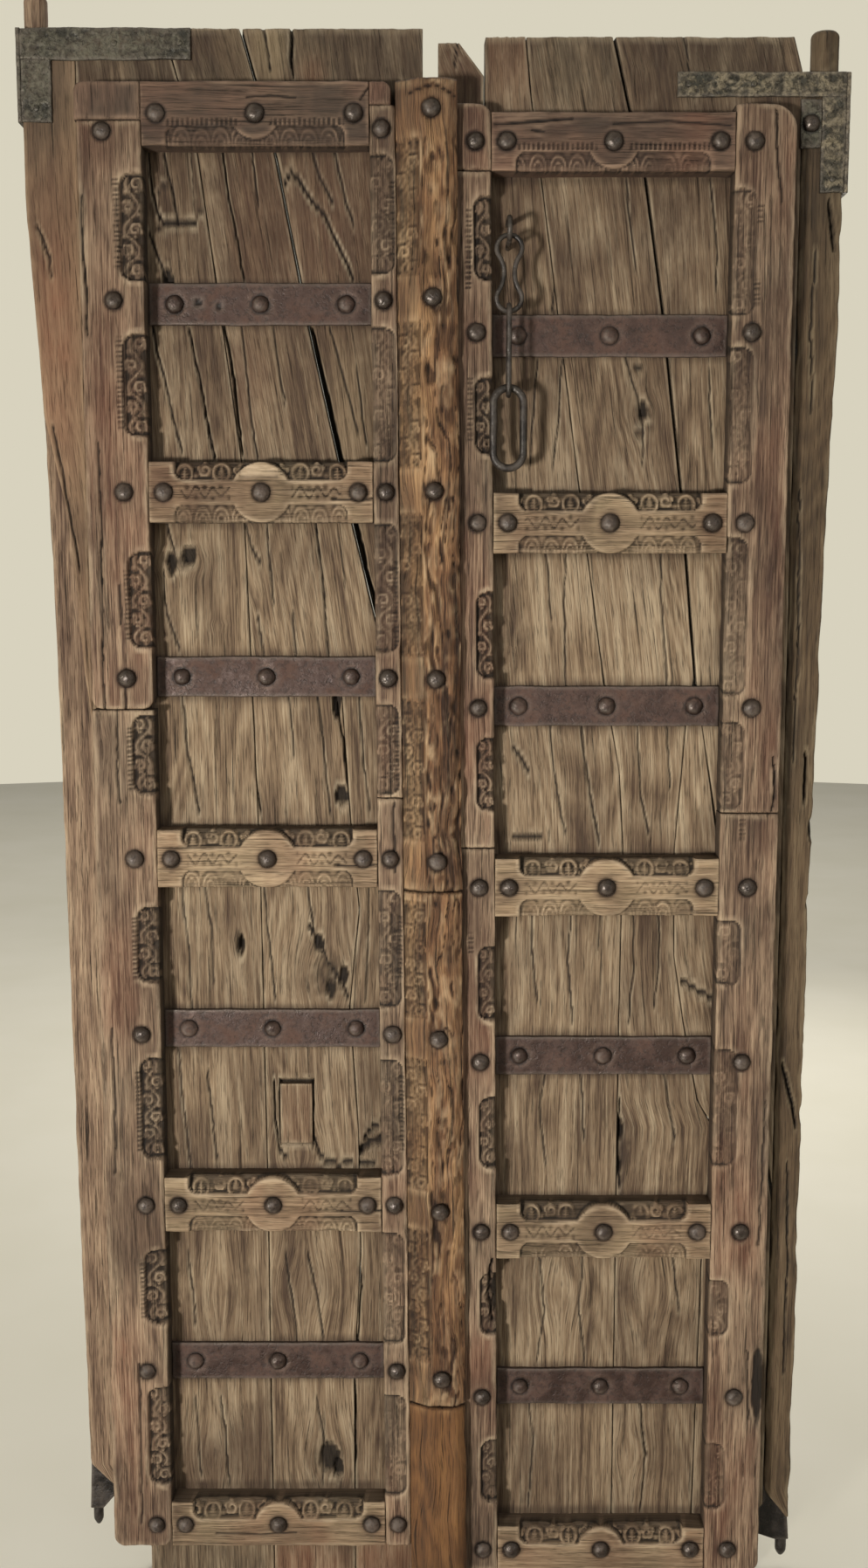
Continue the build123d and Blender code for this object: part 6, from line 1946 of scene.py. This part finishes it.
    def right_rails(self) -> list[Rail]:
        """The right leaf's rails."""
        rails = [Rail("right_top_rail", (71.2, RIGHT_FIELD_EDGE), (70.6, RIGHT_FIELD_EDGE), 1888, 1958,
                RIGHT_ROWS[-1], 56, (-1,), 32, 30, 24, False, finish=RED_WOOD, worn=0.5, faded=0.0,
                tick_rows=(1917,),
            damage=[Crack([(75, 1943), (120, 1946), (170, 1950)], 2.0, 4),
            Crack([(120, 1936), (135, 1934)], 2.0, 3), Crack([(220, 1944), (290, 1947), (365, 1942)], 1.2,
                3), Cloud(300, 1930, 50, 20, 0.8), Cloud(120, 1920, 60, 26, 0.6)])]
        for number, row in enumerate(RIGHT_ROWS[6:0:-2], 1):
            left = 88 - 18 * row / STRIP_TOP + 0.6
            marks = [Cloud(left + 20, row, 26, 26, 0.6), Cloud(350, row, 26, 26, 0.6),
            Cloud(230, row, 30, 20, 0.4)]
            rails.append(Rail(f"right_rail_{number}", (left, RIGHT_FIELD_EDGE), (left, RIGHT_FIELD_EDGE),
                    row - RAIL_HALF, row + RAIL_HALF, row, 56 + number, worn=0.2 + 0.14 * number,
                damage=marks))
        rails.append(Rail("right_bottom_rail", (88, RIGHT_FIELD_EDGE), (87.6, RIGHT_FIELD_EDGE), 28, 92,
                RIGHT_ROWS[0], 60, (1,), 32, 30, 16, False, worn=0.35,
            damage=[Cloud(230, 45, 120, 20, 0.6)]))
        return rails


@dataclass
class CoverStrip:
    """The cover strip over the meeting line, in two old lengths and a new one below."""

    def build(self) -> None:
        """Builds the three lengths."""
        carved_upper = [(1052, 1238), (1288, 1472), (1524, 1708), (1758, 1925)]
        carved_middle = [(342, 530), (582, 766), (816, 976)]
        upper = StripLength(
            "cover_strip_upper", 987, STRIP_TOP, 81, STRIP_WOOD, 1.0, carved_upper,
            damage=[Cloud(-8, 1960, 50, 50, 0.5), Crack([(-30, 1975), (0, 1984), (26, 1972)], 1.6, 3)])
        middle = StripLength(
            "cover_strip_middle", 280, 986, 82, STRIP_WOOD, 0.8, carved_middle,
            damage=[Cloud(0, 790, 40, 40, 0.7), Cloud(0, 556, 40, 40, 0.6)])
        lower = StripLength("cover_strip_lower", 0, 279, 83, NEW_WOOD, 0.12)
        for length in (upper, middle, lower):
            install(length.node, [length.shell()], length.finish)


@dataclass
class Ironwork:
    """Straps across the leaves, corner irons, the wedge plate, and clinched nail points behind."""

    def build(self) -> None:
        """Builds all flat iron."""
        seed = 90
        for side, rows in (("left", LEFT_ROWS[7::-2]), ("right", RIGHT_ROWS[7::-2])):
            if side == "left":
                left, right = straight(LEFT_FIELD_EDGE), leaning(-80.4, -66.4)
            else:
                left, right = leaning(70.6, 88.6), straight(RIGHT_FIELD_EDGE)
            for number, row in enumerate(rows, 1):
                first = (side, number) == ("left", 1)
                marks = [Hole(-298, row + 2, 4.5, 4.5, 3.0), Hole(-272, row - 2, 3, 3, 2)] if first else []
                plate = Plate(left, right, row - STRAP_HALF, row + STRAP_HALF, 0.0, 6.0, seed, 3.0, 0.9, marks)
                node = f"{side}_strap_{number}"
                install(node, [plate.shell()], STRAP_IRON)
                seed += 1
        self.corner("left_corner_iron", -1, LEFT_HEAD, 212, 38, 112, 38, 101)
        self.corner("right_corner_iron", 1, RIGHT_PIVOT_HEAD, 211, 30, 145, 30, 111)
        wedge = Plate([(457.6, 1967), (457.6, 1943)], [(483.6, 1983), (483.6, 1921)], 1923, 1981, 0.0, 5.0, 121,
            2.4, 1.6)
        install("right_corner_plate", [wedge.shell()], CORNER_IRON)
        self.nail_points()

    def corner(self, node: str, side: int, top: float, arm: float, arm_wide: float, drop: float,
               drop_wide: float, seed: int) -> None:
        """An arm, a drop, the return round the edge, and the small nails that hold them."""
        edge = side * 514.0
        inner = edge - side * arm
        drop_in = edge - side * drop_wide
        flaky = 0.45 if side < 0 else 0.95
        shells = []
        for number, (far, low, high, back, front, ragged) in enumerate((
                (inner, top - arm_wide, top, 0.0, 5.0, 1.4),
                (drop_in, top - drop, top - arm_wide + 1, 0.0, 4.8, 1.6),
                (edge + side * 5, top - drop, top, -28.0, 5.0, 0.6))):
            left, right = sorted((edge, far))
            plate = Plate(straight(left), straight(right), low, high, back, front, seed + number, 2.0, ragged,
                [], flaky)
            shells.append(plate.shell())
        nail = Stud(4.2, 1.9, 9, 14)
        places = [(inner + side * 14, top - arm_wide / 2), (inner + side * 95, top - arm_wide / 2),
                  (edge - side * drop_wide / 2, top - drop + 16)]
        for number, (x, z) in enumerate(places):
            shells.append(nail.shell(x, z, 4.4, seed + 5 + number))
        install(node, shells, CORNER_IRON if side < 0 else FLAKED_IRON)

    def nail_points(self) -> None:
        """Points of the stud shanks, clinched flat against the back of the planks."""
        for side, body in (("left", "left_leaf"), ("right", "right_leaf")):
            shells = []
            for kind in ("stile_studs", "rail_studs", "strap_studs"):
                for number, (x, z, _) in enumerate(clusters(f"{side}_{kind}")):
                    if abs(x) < PIVOT_REACH:
                        shells.append(self.clinch(x, z, 300 + number))
            mesh = joined(f"{side}_clinched_points", shells)
            piece = bpy.data.objects.new(f"{side}_clinched_points", mesh)
            bpy.context.scene.collection.objects.link(piece)
            mesh.materials.append(STUD_IRON.material())
            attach(piece, body)
            LOG.info("%s: %d faces", piece.name, len(mesh.polygons))

    @staticmethod
    def clinch(x: float, z: float, seed: int) -> Shell:
        """A bent shank: it leaves the wood, turns over and lies along the back, thinning to its point."""
        turn = np.radians(np.random.default_rng(seed).uniform(60, 120))
        share = np.array([0.0, 0.12, 0.25, 0.4, 0.6, 0.8, 1.0])
        run = 26.0 * share ** 1.4
        out = np.array([-3.0, 1.4, 2.4, 2.4, 2.0, 1.7, 1.2])
        line = np.stack([x + run * np.cos(turn), 44.0 + out, z + run * np.sin(turn)], -1)
        normal = np.array([-np.sin(turn), 0.0, np.cos(turn)])
        return tube(line, np.array([2.2, 2.2, 2.1, 2.0, 1.8, 1.3, 0.4]), normal, False, 8)


@dataclass
class Studio:
    """Pale floor, soft lamps, the background that the camera sees, and the camera at the photograph's place."""

    camera_at: tuple[float, float, float] = (0.0, -2.112, 1.4)
    pitch: float = 7.49
    focal_pixels: float = 1866.0
    long_side: float = 1796.0
    cream: Rgb = (216, 210, 190)

    def build(self) -> None:
        """Builds the floor, lamps, world and camera."""
        self.floor()
        bpy.context.scene.view_settings.view_transform = "Standard"
        self.lamp("key", (-2.3, -4.1, 0.55), (0.05, 0.0, 1.1), 0.5, 42.0, (1.0, 0.97, 0.92), 80.0)
        self.lamp("fill", (1.6, -2.8, 2.2), (0.0, 0.0, 1.0), 2.4, 16.0, (0.96, 0.98, 1.0))
        self.lamp("back", (0.8, 2.8, 2.2), (0.0, 0.0, 1.0), 2.0, 40.0, (1.0, 0.98, 0.95))
        self.lamp("sky", (0.0, 3.6, 6.0), (0.0, 3.8, 0.0), 5.5, 230.0, (1.0, 0.99, 0.96))
        self.world()
        camera = bpy.data.cameras.new("photo_camera")
        camera.sensor_width = 36.0
        camera.lens = self.focal_pixels / self.long_side * 36.0
        camera.shift_x = 0.0
        camera.dof.use_dof = False
        holder = bpy.data.objects.new("photo_camera", camera)
        holder.location = self.camera_at
        holder.rotation_euler = (math.radians(90.0 - self.pitch), 0.0, 0.0)
        bpy.context.scene.collection.objects.link(holder)
        bpy.context.scene.camera = holder

    def floor(self) -> None:
        """A round pale floor with its middle under the door."""
        angle = np.linspace(0, 2 * np.pi, 96, endpoint=False)
        radii = np.array([0.4, 1.5, 4.0, 9.0])[:, None]
        points = np.stack([radii * np.cos(angle), radii * np.sin(angle), np.zeros((4, 96))], -1).reshape(-1, 3)
        f, rings = ringed(4, 96, True)
        mesh = put_mesh("floor", points * 1000.0, [(rings.reshape(-1, 4), True), (f[0][None, :], True)], {})
        material = bpy.data.materials.new("pale_floor")
        material.use_nodes = True
        graph = Graph(material.node_tree)
        shader = material.node_tree.nodes["Principled BSDF"]
        place = graph.node("ShaderNodeTexCoord").outputs["Object"]
        tone = graph.noise(place, (2.0, 2.0, 2.0), 3.0)
        color = graph.mix(graph.spread(tone, 0.3, 0.7), shade(*self.cream), shade(222, 216, 198))
        graph.link(color, shader.inputs["Base Color"])
        shader.inputs["Roughness"].default_value = 0.9
        mesh.materials.append(material)
        floor = bpy.data.objects.new("floor", mesh)
        bpy.context.scene.collection.objects.link(floor)
        floor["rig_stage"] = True

    @staticmethod
    def lamp(name: str, at: Sequence[float], to: Sequence[float], size: float, watts: float,
             color: Sequence[float], spread: float = 180.0) -> None:
        """A soft square lamp aimed at a point, its light held to a spread in degrees."""
        data = bpy.data.lights.new(name, "AREA")
        data.size, data.energy, data.color, data.spread = size, watts, color, math.radians(spread)
        lamp = bpy.data.objects.new(name, data)
        lamp.location = at
        aim = np.array(to) - np.array(at)
        flat = math.hypot(aim[0], aim[1])
        lamp.rotation_euler = (math.atan2(flat, -aim[2]), 0.0, math.atan2(aim[1], aim[0]) - math.pi / 2)
        bpy.context.scene.collection.objects.link(lamp)

    def world(self) -> None:
        """Even light from all round, and plain cream where the camera or a reflection looks past the door."""
        world = bpy.data.worlds.new("studio")
        world.use_nodes = True
        bpy.context.scene.world = world
        graph = Graph(world.node_tree)
        path = graph.node("ShaderNodeLightPath").outputs
        direct = graph.math("MAXIMUM", path["Is Camera Ray"], path["Is Glossy Ray"])
        direct = graph.math("MAXIMUM", direct, path["Is Transmission Ray"])
        background = world.node_tree.nodes["Background"]
        color = graph.mix(direct, (0.2, 0.2, 0.2, 1.0), shade(*self.cream))
        graph.link(color, background.inputs["Color"])
        background.inputs["Strength"].default_value = 1.0


def build_patch() -> None:
    """The square patch let into the left leaf's middle plank."""
    patch = Board("left_plank_patch", straight(-207.6), straight(-164.4), 629.4, 712.6, 15, 0.0, -9.9, 2.2, 4.0,
        1.6, 0.3, 0.3, 0.3, (0, 0), [Cloud(-186, 690, 30, 60, 0.5), Tint(-186, 670, 30, 60, 0, 0, 0.35)])
    install("left_plank_patch", [patch.shell()], PANEL_WOOD)


def main() -> None:
    """Builds the studio and every sub-assembly in order."""
    logging.basicConfig(level=logging.INFO, format="%(name)s %(message)s")
    Studio().build()
    for side in ("left", "right"):
        PlankField(side).build()
        PivotSide(side).build()
        LeafFrame(side).build()
    build_patch()
    CoverStrip().build()
    Ironwork().build()
    for number, node in enumerate(STUD_NODES):
        StudSet(node, 500 + 40 * number).build()
    HaspChain().build()


if __name__ == "__main__":
    main()
